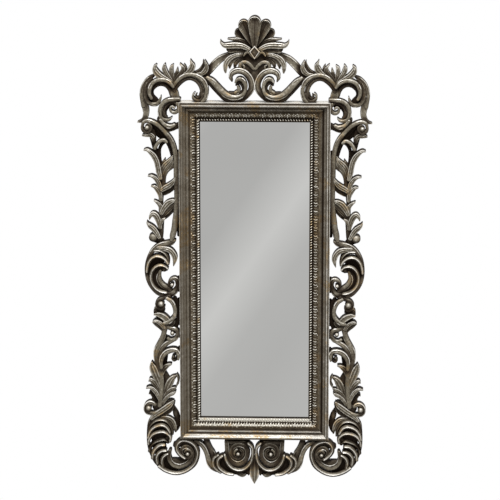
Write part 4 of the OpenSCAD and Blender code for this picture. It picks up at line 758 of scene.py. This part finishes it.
# Volute in the corner, that the arch springs from
carved["corner_volute"] = [
    ("ground", 0.64, [[232, 516, 8], [248, 516, 10], [262, 508, 10], [270, 494, 9], [270, 480, 8]]),
    ("rib", 0.9, [[224, 530, 5], [240, 529, 6], [256, 527, 6], [270, 520, 6], [279, 507, 6], [282, 493, 6],
     [281, 480, 6], [275, 471, 5], [265, 467, 5], [254, 468, 4], [247, 474, 2]]),
    ("rib", 0.78, [[236, 519, 5], [252, 518, 6], [265, 508, 6], [271, 494, 6], [269, 481, 5],
     [262, 474, 3]]),
    ("rib", 0.95, [[230, 518, 4], [227, 505, 4], [229, 495, 5], [238, 490, 5], [248, 494, 4], [251, 503, 3],
     [245, 509, 3], [238, 505, 3]]),
    ("rib", 0.8, [[287, 470, 4], [280, 456, 6], [270, 445, 7], [258, 438, 7], [246, 440, 7], [235, 446, 8],
     [224, 450, 9]]),
    ("rib", 0.95, [[280, 468, 4], [271, 457, 5], [261, 450, 6], [249, 448, 6], [240, 452, 5]])]

# Spray beside the upper half: a long stem with leaves, curls and buds
carved["upper_spray"] = [
    ("ground", 0.5, [[312, 446, 10], [298, 438, 12], [284, 424, 13], [270, 412, 10]]),
    ("rib", 0.9, [[334, 447, 4], [331, 459, 5], [319, 464, 6], [305, 461, 6], [291, 454, 6], [277, 442, 6],
     [263, 426, 6], [250, 407, 7], [241, 386, 7], [236, 362, 7], [234, 335, 8], [234, 300, 8],
     [233, 260, 8], [233, 220, 8], [235, 190, 8], [238, 160, 9], [241, 136, 9], [246, 114, 9],
     [250, 101, 5]]),
    ("rib", 0.6, [[298, 446, 7], [284, 434, 9], [270, 418, 9], [259, 401, 9], [251, 382, 8], [246, 362, 7],
     [243, 342, 5], [242, 322, 4]]),
    ("rib", 0.9, [[334, 452, 4], [335, 443, 4], [330, 434, 5], [320, 431, 5], [311, 437, 4], [309, 447, 4],
     [316, 454, 4]]),
    ("ball", 1, [[320, 443, 8]]),
    ("rib", 0.7, [[306, 432, 9], [304, 416, 10], [302, 400, 8], [299, 384, 7], [295, 366, 6]]),
    ("leaf", 0.85, [[300, 402, 5], [303, 414, 7], [311, 421, 7], [322, 421, 6], [333, 420, 3]]),
    ("rib", 1, [[262, 401, 4], [270, 407, 5], [281, 404, 5], [290, 395, 5], [297, 382, 5]]),
    ("rib", 0.65, [[266, 400, 4], [277, 392, 5], [284, 378, 5], [286, 360, 6], [285, 345, 6],
     [282, 332, 5]]),
    ("leaf", 1, [[281, 290, 5], [286, 308, 8], [289, 326, 8], [293, 343, 8], [301, 359, 8], [312, 371, 6],
     [322, 377, 4], [330, 376, 1.5]]),
    ("leaf", 0.9, [[278, 300, 5], [274, 318, 7], [266, 331, 8], [256, 341, 7], [248, 351, 4],
     [245, 359, 1.5]]),
    ("leaf", 0.8, [[280, 318, 5], [274, 332, 6], [268, 347, 2]]),
    ("leaf", 0.85, [[276, 294, 5], [269, 311, 7], [258, 324, 7], [248, 336, 5], [243, 345, 2]]),
    ("rib", 0.8, [[238, 330, 5], [250, 322, 6], [261, 313, 6], [269, 299, 6], [272, 283, 6],
     [273, 268, 6]]),
    ("rib", 0.75, [[286, 312, 7], [283, 292, 9], [280, 274, 9], [278, 256, 9], [280, 238, 8], [281, 220, 7],
     [281, 204, 7], [280, 188, 8], [279, 172, 8], [280, 155, 8], [281, 138, 8], [283, 120, 9],
     [285, 102, 9]]),
    ("leaf", 0.95, [[283, 260, 6], [288, 277, 7], [297, 290, 6], [308, 297, 4], [318, 297, 1.5]]),
    ("leaf", 0.9, [[281, 224, 5], [284, 242, 7], [291, 255, 7], [300, 264, 5], [309, 265, 1.5]]),
    ("leaf", 0.95, [[278, 254, 6], [268, 261, 8], [256, 268, 8], [245, 278, 6], [237, 292, 2]]),
    ("leaf", 0.75, [[282, 238, 5], [270, 243, 7], [258, 249, 7], [247, 256, 6], [238, 264, 4]]),
    ("leaf", 0.85, [[281, 184, 5], [281, 197, 6], [285, 208, 6], [293, 216, 4], [301, 221, 1.5]]),
    ("leaf", 0.9, [[280, 182, 6], [272, 198, 8], [262, 211, 9], [250, 219, 7], [241, 222, 4],
     [235, 221, 1.5]]),
    ("leaf", 0.8, [[277, 172, 6], [265, 185, 7], [253, 197, 7], [244, 207, 5], [239, 215, 2]]),
    ("leaf", 0.7, [[274, 164, 5], [262, 174, 6], [251, 184, 5], [242, 192, 3]]),
    ("leaf", 0.9, [[284, 138, 6], [288, 157, 8], [295, 173, 9], [304, 180, 8], [312, 174, 5],
     [315, 165, 2]]),
    ("leaf", 0.95, [[286, 108, 5], [294, 122, 7], [303, 134, 8], [313, 143, 7], [320, 150, 4],
     [323, 156, 1.5]]),
    ("leaf", 0.9, [[281, 148, 3], [276, 161, 5], [269, 167, 2.5]]),
    ("ball", 0.9, [[305, 107, 13]]),
    ("ground", 0.6, [[300, 100, 10], [290, 95, 8], [280, 94, 8]]),
    ("ground", 0.4, [[229, 112, 5], [229, 240, 5], [229, 368, 5]])]

# Ribbed scroll at half height
carved["side_scroll"] = [
    ("ground", 0.58, [[268, 50, 10], [284, 38, 14], [304, 34, 14], [316, 14, 12], [314, -10, 12],
     [304, -34, 14], [288, -52, 12], [270, -62, 10]]),
    ("rib", 0.85, [[240, 98, 4], [250, 92, 8], [264, 89, 8], [280, 85, 8], [294, 77, 8], [306, 66, 7],
     [316, 51, 6], [323, 35, 5], [327, 17, 4], [327, -1, 4], [323, -20, 5], [316, -38, 5], [305, -54, 5],
     [292, -65, 6], [278, -71, 6]]),
    ("flute", 1, [[261, 28, 3], [268, 39, 4], [281, 48, 5], [296, 50, 5], [309, 44, 5], [318, 32, 5],
     [323, 17, 4], [325, 2, 3]]),
    ("flute", 0.9, [[300, 67, 5], [286, 67, 6], [273, 60, 6], [264, 49, 6], [260, 37, 5], [259, 26, 3]]),
    ("leaf", 0.95, [[290, 76, 5], [272, 74, 7], [257, 70, 8], [246, 60, 8], [240, 46, 8], [241, 34, 5],
     [244, 22, 1.5]]),
    ("flute", 0.95, [[262, 12, 3], [270, 19, 5], [283, 22, 5], [296, 18, 5], [306, 8, 5], [312, -6, 5],
     [313, -22, 5], [308, -38, 5], [298, -51, 5], [284, -60, 6], [268, -63, 5]]),
    ("rib", 0.7, [[266, 8, 5], [277, 7, 6], [290, 8, 7], [299, -3, 8], [301, -20, 8], [296, -36, 8],
     [284, -48, 8], [268, -53, 8]]),
    ("rib", 0.8, [[284, 4, 4], [289, -12, 7], [288, -26, 8], [280, -39, 8], [268, -48, 8], [256, -54, 8]]),
    ("ball", 0.8, [[272, 8, 7]]),
    ("rib", 0.8, [[276, -71, 6], [260, -69, 9], [247, -66, 9], [238, -56, 8], [233, -42, 6], [234, -26, 7],
     [241, -20, 6], [250, -22, 5], [257, -29, 4], [259, -38, 3.5], [254, -46, 3]]),
    ("ball", 0.95, [[249, -39, 6]]),
    ("ground", 0.4, [[229, -20, 5], [229, -40, 5], [229, -60, 5]])]

# Spray beside the lower half: stems with curls, leaves and buds
carved["lower_spray"] = [
    ("rib", 0.85, [[258, -76, 6], [274, -80, 6], [288, -87, 6], [295, -98, 6], [292, -110, 6],
     [282, -115, 5], [274, -108, 4]]),
    ("ball", 1, [[283, -99, 10]]),
    ("rib", 1, [[264, -80, 5], [252, -88, 6], [244, -101, 6], [240, -118, 6], [242, -134, 6],
     [250, -146, 6], [261, -154, 6], [273, -157, 5]]),
    ("rib", 0.65, [[242, -84, 6], [234, -98, 6], [231, -118, 6], [231, -140, 6], [235, -157, 8],
     [240, -170, 8]]),
    ("leaf", 0.8, [[276, -120, 5], [287, -118, 8], [297, -117, 8], [302, -124, 4], [303, -131, 1.5]]),
    ("band", 1, [[302, -130, 3], [290, -131, 7], [277, -137, 9], [266, -146, 9], [258, -154, 6]]),
    ("leaf", 0.8, [[298, -137, 2], [289, -143, 5], [279, -151, 6], [270, -160, 6]]),
    ("leaf", 1, [[274, -172, 5], [282, -161, 6], [292, -153, 5], [301, -151, 4], [308, -155, 1.5]]),
    ("leaf", 0.9, [[276, -182, 5], [286, -171, 6], [297, -163, 5], [307, -157, 1.5]]),
    ("leaf", 0.9, [[264, -166, 6], [254, -163, 7], [246, -155, 6], [243, -148, 3]]),
    ("rib", 0.9, [[266, -158, 8], [271, -172, 9], [274, -186, 8], [277, -200, 8], [283, -214, 8],
     [291, -229, 8], [298, -244, 8], [300, -259, 7], [298, -274, 7], [293, -289, 8], [289, -305, 9],
     [286, -322, 9], [284, -340, 8], [284, -360, 8], [285, -380, 7], [287, -400, 7], [289, -418, 7]]),
    ("rib", 0.9, [[266, -170, 5], [253, -175, 6], [241, -177, 6], [234, -185, 6], [234, -197, 6],
     [241, -208, 6], [254, -211, 5], [262, -206, 4]]),
    ("ball", 0.95, [[249, -190, 6.5]]),
    ("rib", 0.9, [[238, -206, 4], [250, -213, 6], [264, -221, 7], [275, -231, 8], [284, -244, 8],
     [290, -259, 7], [291, -275, 6], [288, -292, 5]]),
    ("ground", 0.55, [[270, -208, 8], [280, -226, 10], [290, -246, 10]]),
    ("rib", 1, [[231, -270, 3], [231, -254, 6], [236, -244, 6], [248, -242, 7], [262, -246, 8],
     [273, -254, 8], [281, -266, 7], [284, -281, 6], [283, -298, 5]]),
    ("rib", 0.8, [[240, -250, 4], [234, -260, 5], [237, -271, 4], [245, -276, 3.5], [250, -270, 3]]),
    ("ball", 0.85, [[246, -264, 5]]),
    ("ground", 0.58, [[270, -262, 7], [274, -276, 9], [276, -292, 8]]),
    ("leaf", 0.9, [[285, -328, 6], [280, -310, 8], [271, -297, 8], [261, -290, 5], [253, -288, 2]]),
    ("leaf", 0.95, [[286, -362, 4], [291, -345, 8], [298, -327, 11], [305, -309, 12], [310, -295, 10],
     [312, -284, 3]]),
    ("leaf", 0.9, [[288, -374, 4], [297, -358, 7], [307, -345, 8], [316, -337, 6], [321, -341, 2]]),
    ("leaf", 0.95, [[289, -400, 4], [298, -380, 6], [308, -367, 6], [318, -361, 4], [329, -363, 1.5]]),
    ("leaf", 0.75, [[293, -412, 5], [301, -397, 8], [309, -386, 8], [317, -379, 5], [321, -383, 2]]),
    ("leaf", 0.7, [[296, -420, 6], [304, -409, 7], [310, -401, 4], [312, -398, 2]]),
    ("rib", 0.72, [[274, -320, 8], [270, -331, 10], [267, -344, 14], [269, -360, 15], [273, -378, 12],
     [278, -396, 10], [283, -414, 8]]),
    ("leaf", 0.85, [[278, -398, 5], [270, -378, 8], [263, -358, 11], [256, -343, 11], [248, -332, 8],
     [238, -325, 3]]),
    ("rib", 0.9, [[236, -320, 1.5], [232, -330, 3], [232, -344, 3], [237, -354, 2]]),
    ("leaf", 0.85, [[280, -404, 4], [270, -386, 6], [259, -373, 7], [248, -366, 6], [239, -361, 2]]),
    ("leaf", 0.9, [[280, -412, 4], [270, -396, 5], [258, -385, 5], [248, -380, 5], [240, -374, 1.5]]),
    ("rib", 0.75, [[300, -424, 12], [288, -426, 10], [276, -416, 9], [264, -408, 7], [254, -405, 5]]),
    ("rib", 0.85, [[304, -417, 6], [316, -411, 7], [328, -417, 7], [332, -430, 7], [326, -441, 7],
     [311, -445, 6], [296, -441, 6]]),
    ("ball", 0.95, [[323, -428, 9]]),
    ("ground", 0.4, [[229, -88, 5], [229, -126, 5], [229, -164, 5]]),
    ("ground", 0.4, [[229, -184, 5], [229, -204, 5]]),
    ("ground", 0.4, [[229, -240, 5], [229, -266, 5]]),
    ("ground", 0.4, [[237, -190, 6], [248, -190, 6]])]

# Ribbed scroll at the lower corner, coiled up to a disc
carved["bottom_scroll"] = [
    ("ground", 0.6, [[296, -470, 16], [292, -500, 22], [294, -530, 22], [290, -560, 20], [284, -586, 16],
     [268, -608, 14], [244, -620, 10]]),
    ("ground", 0.76, [[242, -546, 8], [222, -540, 12], [204, -548, 14], [194, -566, 16], [200, -584, 14],
     [222, -600, 12], [250, -600, 10]]),
    ("ground", 0.78, [[214, -566, 12], [206, -572, 12]]),
    ("leaf", 0.9, [[316, -462, 4], [300, -447, 8], [284, -436, 9], [269, -425, 9], [257, -415, 8],
     [248, -405, 3]]),
    ("leaf", 0.75, [[306, -464, 5], [288, -452, 8], [272, -444, 8], [259, -435, 8], [251, -423, 6],
     [246, -411, 4]]),
    ("rib", 0.6, [[247, -428, 4], [241, -446, 9], [236, -462, 9], [235, -478, 9], [237, -492, 7],
     [241, -503, 3]]),
    ("leaf", 0.8, [[282, -458, 5], [264, -461, 7], [252, -470, 8], [245, -484, 7], [241, -502, 2.5]]),
    ("rib", 0.75, [[308, -456, 6], [320, -474, 6], [325, -494, 4], [326, -518, 4], [325, -542, 4],
     [321, -563, 4], [313, -584, 4], [303, -601, 5], [290, -615, 5]]),
    ("flute", 0.85, [[324, -502, 4], [318, -485, 6], [306, -472, 7], [290, -466, 7], [274, -468, 7],
     [262, -478, 7], [254, -492, 6], [250, -509, 3]]),
    ("flute", 1, [[325, -521, 4], [320, -504, 5], [310, -491, 5], [296, -483, 6], [281, -481, 6],
     [268, -488, 6], [259, -503, 4]]),
    ("flute", 1, [[325, -541, 4], [321, -524, 5], [311, -511, 5], [296, -504, 6], [280, -502, 6],
     [266, -508, 6], [257, -519, 5], [258, -531, 4]]),
    ("ball", 0.8, [[266, -523, 8]]),
    ("flute", 0.8, [[322, -566, 5], [317, -550, 6], [305, -539, 7], [290, -533, 7], [276, -530, 6],
     [265, -537, 5]]),
    ("flute", 0.95, [[313, -586, 5], [310, -569, 6], [301, -555, 6], [289, -546, 6], [277, -545, 5]]),
    ("flute", 0.95, [[298, -604, 5], [300, -586, 6], [294, -572, 6], [283, -564, 6], [272, -563, 4]]),
    ("flute", 0.95, [[281, -617, 5], [284, -600, 6], [281, -586, 6], [273, -577, 5], [266, -573, 3]]),
    ("coil", 0.9, [[258, -563, 5], [262, -580, 7], [257, -597, 7], [246, -608, 8], [230, -612, 8],
     [213, -606, 7], [199, -595, 7], [191, -580, 7], [191, -564, 6], [199, -552, 6], [212, -549, 6],
     [222, -556, 5], [224, -567, 5], [218, -577, 4]]),
    ("flute", 1, [[292, -613, 5], [276, -624, 6], [256, -632, 6], [236, -634, 6], [216, -629, 6],
     [199, -619, 6], [185, -605, 7], [177, -588, 7], [174, -570, 7], [179, -552, 7], [190, -538, 8],
     [206, -530, 8], [222, -530, 8], [235, -541, 8], [238, -557, 7], [232, -570, 6], [222, -580, 5],
     [213, -586, 2]]),
    ("rib", 0.9, [[214, -584, 3], [204, -586, 4], [195, -580, 4], [192, -570, 4], [198, -561, 4],
     [207, -559, 4], [213, -566, 3]]),
    ("ball", 1, [[205, -573, 6]])]

# Short brace from the disc to the lower volute
carved["brace"] = [
    ("rib", 0.9, [[180, -531, 5], [164, -541, 7], [153, -555, 7], [146, -572, 7], [141, -590, 8],
     [137, -604, 8], [128, -616, 7], [116, -625, 4]]),
    ("rib", 0.8, [[148, -528, 8], [143, -545, 9], [136, -560, 9], [128, -573, 9], [126, -588, 9]]),
    ("ground", 0.6, [[150, -545, 10], [140, -570, 10], [132, -590, 10], [128, -608, 8]])]

# Volute under the bottom rail, coiled up round a small ball
carved["bottom_volute"] = [
    ("ground", 0.6, [[112, -592, 10], [108, -610, 10], [94, -622, 10], [76, -628, 10], [56, -632, 9],
     [38, -634, 9], [24, -632, 8]]),
    ("ground", 0.74, [[52, -560, 30], [50, -576, 30]]),
    ("flute", 0.95, [[112, -576, 4], [123, -585, 5], [127, -598, 5], [125, -611, 5], [116, -622, 5],
     [104, -630, 4]]),
    ("flute", 1, [[99, -578, 4], [109, -586, 6], [113, -600, 6], [109, -614, 6], [98, -625, 6],
     [84, -633, 5], [66, -636, 4]]),
    ("rib", 0.7, [[96, -580, 6], [99, -596, 8], [93, -612, 9], [80, -624, 8], [64, -630, 8]]),
    ("flute", 1, [[91, -574, 4], [87, -590, 5], [79, -605, 6], [66, -617, 6], [50, -622, 6], [35, -620, 6],
     [22, -611, 6], [12, -598, 6], [7, -582, 5], [5, -564, 5], [8, -548, 5], [18, -537, 5]]),
    ("leaf", 0.8, [[58, -628, 6], [46, -636, 7], [36, -640, 6], [28, -638, 3]]),
    ("coil", 0.86, [[86, -532, 6], [84, -548, 7], [83, -566, 7], [79, -583, 8], [68, -597, 9],
     [52, -603, 9], [36, -598, 9], [25, -585, 8], [21, -568, 8], [26, -552, 7], [39, -543, 7],
     [54, -543, 7], [66, -551, 6], [70, -564, 6], [66, -577, 6], [55, -584, 5], [44, -582, 5],
     [36, -573, 4.5], [36, -563, 4], [43, -556, 3]]),
    ("rib", 0.8, [[84, -534, 6], [66, -535, 6], [46, -535, 6], [28, -536, 6], [14, -542, 5]]),
    ("rib", 0.95, [[61, -572, 2], [60, -562, 3], [54, -556, 3]]),
    ("ball", 1, [[50, -571, 6]]),
    ("ground", 0.4, [[22, -527, 7], [52, -527, 7], [84, -527, 7]])]

# Leaf that hangs at the middle of the bottom
carved["drop_leaf"] = [
    ("leaf", 0.9, [[0, -588, 7], [0, -610, 13], [0, -628, 15], [0, -642, 13], [0, -653, 8], [0, -663, 2]]),
    ("leaf", 0.75, [[5, -590, 5], [13, -608, 8], [18, -624, 7], [18, -638, 3]])]


# The wash settles by how far a place lies below what stands round it. A plan holds the front's depth,
# one value a millimetre; the highest value near a place, blurred, is the level it is measured from.
plan_x, plan_low, plan_high = 380, -720, 820
plan_step = 0.7
plan = np.zeros((2 * plan_x + 1, plan_high - plan_low + 1))


def plan_place(x, z):
    """Where places on the front lie in the plan."""
    return (np.clip(np.round(x).astype(int) + plan_x, 0, plan.shape[0] - 1),
            np.clip(np.round(z).astype(int) - plan_low, 0, plan.shape[1] - 1))


def stamp(face):
    """Puts a face's depth into the plan where it stands in front of what is there, with points added
    between its own until they are less than plan_step apart."""
    for axis in (1, 0):
        while np.abs(np.diff(face[..., [0, 2]], axis=axis)).max() > plan_step:
            face = np.moveaxis(face, axis, 0)
            merged = np.empty((len(face) * 2 - 1,) + face.shape[1:])
            merged[::2] = face
            merged[1::2] = (face[1:] + face[:-1]) / 2
            face = np.moveaxis(merged, 0, axis)
    x, depth, z = face.reshape(-1, 3).T
    for half in (1, -1):
        np.maximum.at(plan, plan_place(half * x, z), depth)


def highest_near(values, reach_mm):
    """The highest value within reach_mm of each place."""
    for axis in (0, 1):
        values = np.max([np.roll(values, shift, axis) for shift in range(-reach_mm, reach_mm + 1)], axis=0)
    return values


def blurred(values, spread_mm):
    """The values averaged over a bell of this spread round each place."""
    fx = np.fft.fftfreq(values.shape[0])[:, None]
    fz = np.fft.rfftfreq(values.shape[1])[None, :]
    keep = np.exp(-2 * (math.pi * spread_mm) ** 2 * (fx ** 2 + fz ** 2))
    return np.fft.irfft2(np.fft.rfft2(values) * keep, s=values.shape)


# Strokes that lie over each other are cut back in steps, so that no two backs share one plane
back_step = 0.03
solids = {name: [stroke_solid(*stroke, carving_back + back_step * n) for n, stroke in enumerate(strokes)]
          for name, strokes in carved.items()}
for made in solids.values():
    for _, _, face, _ in made:
        stamp(face)
# The moulding's crest stands beside the carving, from this far outward and at this depth
crest_from, crest_level = 50, 50
across = np.abs(np.arange(-plan_x, plan_x + 1))[:, None]
upward = np.abs(np.arange(plan_low, plan_high + 1))[None, :]
outward = np.maximum(across - sight_x, upward - sight_z)
plan[(outward >= crest_from) & (outward <= face_width)] = crest_level
near_mm, blur_mm = 8, 4
surround = blurred(highest_near(plan, near_mm), blur_mm)


def carved_piece(name, strokes, halves):
    """One piece of the carving from its strokes, on the halves given: 1 right and -1 left."""
    points, faces, relief = [], [], []
    for place, outline, _, tone in strokes:
        stands = place[:, 1] - surround[plan_place(place[:, 0], place[:, 2])]
        on_the_axis = abs(place[:, 0].mean()) < 1
        for half in halves[:1] if on_the_axis else halves:
            faces += [[v + len(points) for v in corner] for corner in outline]
            points += [(half * x, -depth, z) for x, depth, z in place]
            relief += (stands + tone).tolist()
    piece = solid_piece(name, points, faces, leafed_carving)
    set_relief(piece, relief)
    return piece


across_the_middle = ("crest_shell", "crest_leaves", "drop_leaf")
for name, strokes in solids.items():
    if name in across_the_middle:
        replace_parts(carved_piece(name + "_relief", strokes, (1, -1)), name)
    else:
        for side, half in (("_right", 1), ("_left", -1)):
            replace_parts(carved_piece(name + "_relief" + side, strokes, (half,)), name + side)


# Diamond boss on the crest leaves: a cast lozenge with a raised rim round a sunk face, which the
# wash fills.
boss_corners = [(0, 693), (16, 675), (0, 652), (-16, 675)]
boss_middle = np.array([0, 671.5])
points_a_side = 6
# Its steps from the back over the rim to the middle: share of the outline, depth from the wall, relief
boss_steps = [(1.0, 22, -12), (1.0, 46, -5), (0.97, 48.6, 0), (0.88, 49.6, 2), (0.78, 49.2, 0),
              (0.7, 46.8, -9), (0.4, 47.2, -6), (0.02, 47.6, -5)]
edge = [np.array(start) + (np.array(end) - start) * n / points_a_side
        for start, end in zip(boss_corners, boss_corners[1:] + boss_corners[:1])
        for n in range(points_a_side)]
points, relief = [], []
for share, depth, stands in boss_steps:
    for corner in edge:
        x, z = boss_middle + (corner - boss_middle) * share
        points.append((x, -depth, z))
        relief.append(stands)
boss = solid_piece("crest_boss", points, skin(len(boss_steps), len(edge)), leafed_carving)
boss.data.set_sharp_from_angle(angle=math.radians(35))
set_relief(boss, relief)


# Floor, light and camera. A pale floor well below the mirror, a large soft lamp above and in front,
# and an even surround that the camera and the glass see as white.
floor_half, floor_height = 2.1, -1.5
floor_mesh = bpy.data.meshes.new("floor")
floor_mesh.from_pydata([(x * floor_half, y * floor_half, floor_height) for x, y in
                        ((-1, -1), (1, -1), (1, 1), (-1, 1))], [], [(0, 1, 2, 3)])
floor = bpy.data.objects.new("floor", floor_mesh)
bpy.context.scene.collection.objects.link(floor)
paint = new_material("pale_floor_paint")
place = node(paint, "ShaderNodeTexCoord").outputs["Object"]
patch = node(paint, "ShaderNodeTexNoise", {"Vector": place, "Scale": scale_for(400), "Detail": 2.0})
shade = node(paint, "ShaderNodeValToRGB", {"Fac": patch}, stops=[(0.3, "#dddcda"), (0.7, "#e6e5e3")])
shader = node(paint, "ShaderNodeBsdfPrincipled", {"Base Color": shade, "Roughness": 0.8})
node(paint, "ShaderNodeOutputMaterial", {"Surface": shader})
floor_mesh.materials.append(paint)

world = bpy.data.worlds.new("surround")
bpy.context.scene.world = world
world.use_nodes = True
world.node_tree.nodes.clear()
path = node(world, "ShaderNodeLightPath")
seen = node(world, "ShaderNodeMath", {
    0: path.outputs["Is Camera Ray"], 1: path.outputs["Is Glossy Ray"]}, operation="MAXIMUM")
seen = node(world, "ShaderNodeMath", {0: seen, 1: path.outputs["Is Transmission Ray"]}, operation="MAXIMUM")
soft = node(world, "ShaderNodeBackground", {"Color": (1, 1, 1, 1), "Strength": 0.32})
# What a glossy surface sees of the surround: a white streak that leans to the right, between walls of
# a soft grey. The vector points across the streak.
direction = node(world, "ShaderNodeTexCoord").outputs["Generated"]
across = node(world, "ShaderNodeVectorMath", {0: direction, 1: (-11.5, 0.0, 8.25)}, operation="DOT_PRODUCT")
share = node(world, "ShaderNodeMapRange", {
    "Value": across.outputs["Value"], "From Min": -2.46, "From Max": -0.86})
streak = node(world, "ShaderNodeValToRGB", {"Fac": share}, stops=[
    (0.0, "#f4f4f4"), (0.13, "#e9e9e9"), (0.30, "#e3e3e3"), (0.42, "#e6e6e6"), (0.54, "#ffffff"),
    (0.68, "#e1e1e1"), (0.90, "#e0e0e0"), (1.0, "#f4f4f4")])
for_camera = node(world, "ShaderNodeMixRGB", {
    "Fac": path.outputs["Is Camera Ray"], "Color1": streak, "Color2": (1, 1, 1, 1)})
white = node(world, "ShaderNodeBackground", {"Color": for_camera, "Strength": 1.0})
both = node(world, "ShaderNodeMixShader", {0: seen, 1: soft, 2: white})
node(world, "ShaderNodeOutputWorld", {"Surface": both})

# The soft lamp, turned to the middle of the mirror
key_light = bpy.data.lights.new("key_lamp", "AREA")
key_light.shape, key_light.size, key_light.energy = "SQUARE", 2.3, 385
key_lamp = bpy.data.objects.new("key_lamp", key_light)
key_lamp.location = (0.3, -2.6, 4.9)
key_lamp.rotation_euler = (-key_lamp.location).to_track_quat("-Z", "Y").to_euler()
bpy.context.scene.collection.objects.link(key_lamp)

# The photograph's viewing angle: 8 m off, from above the mirror's top and a little from the right
degrees_down, degrees_aside = 13.57, 1.94
camera = bpy.data.cameras.new("camera")
camera.sensor_width, camera.lens = 36, 196.3
stand = bpy.data.objects.new("camera", camera)
stand.location = (0.256, -8.0, 1.994)
stand.rotation_euler = (math.radians(90 - degrees_down), 0, math.radians(degrees_aside))
bpy.context.scene.collection.objects.link(stand)
bpy.context.scene.camera = stand
bpy.context.scene.view_settings.view_transform = "Standard"
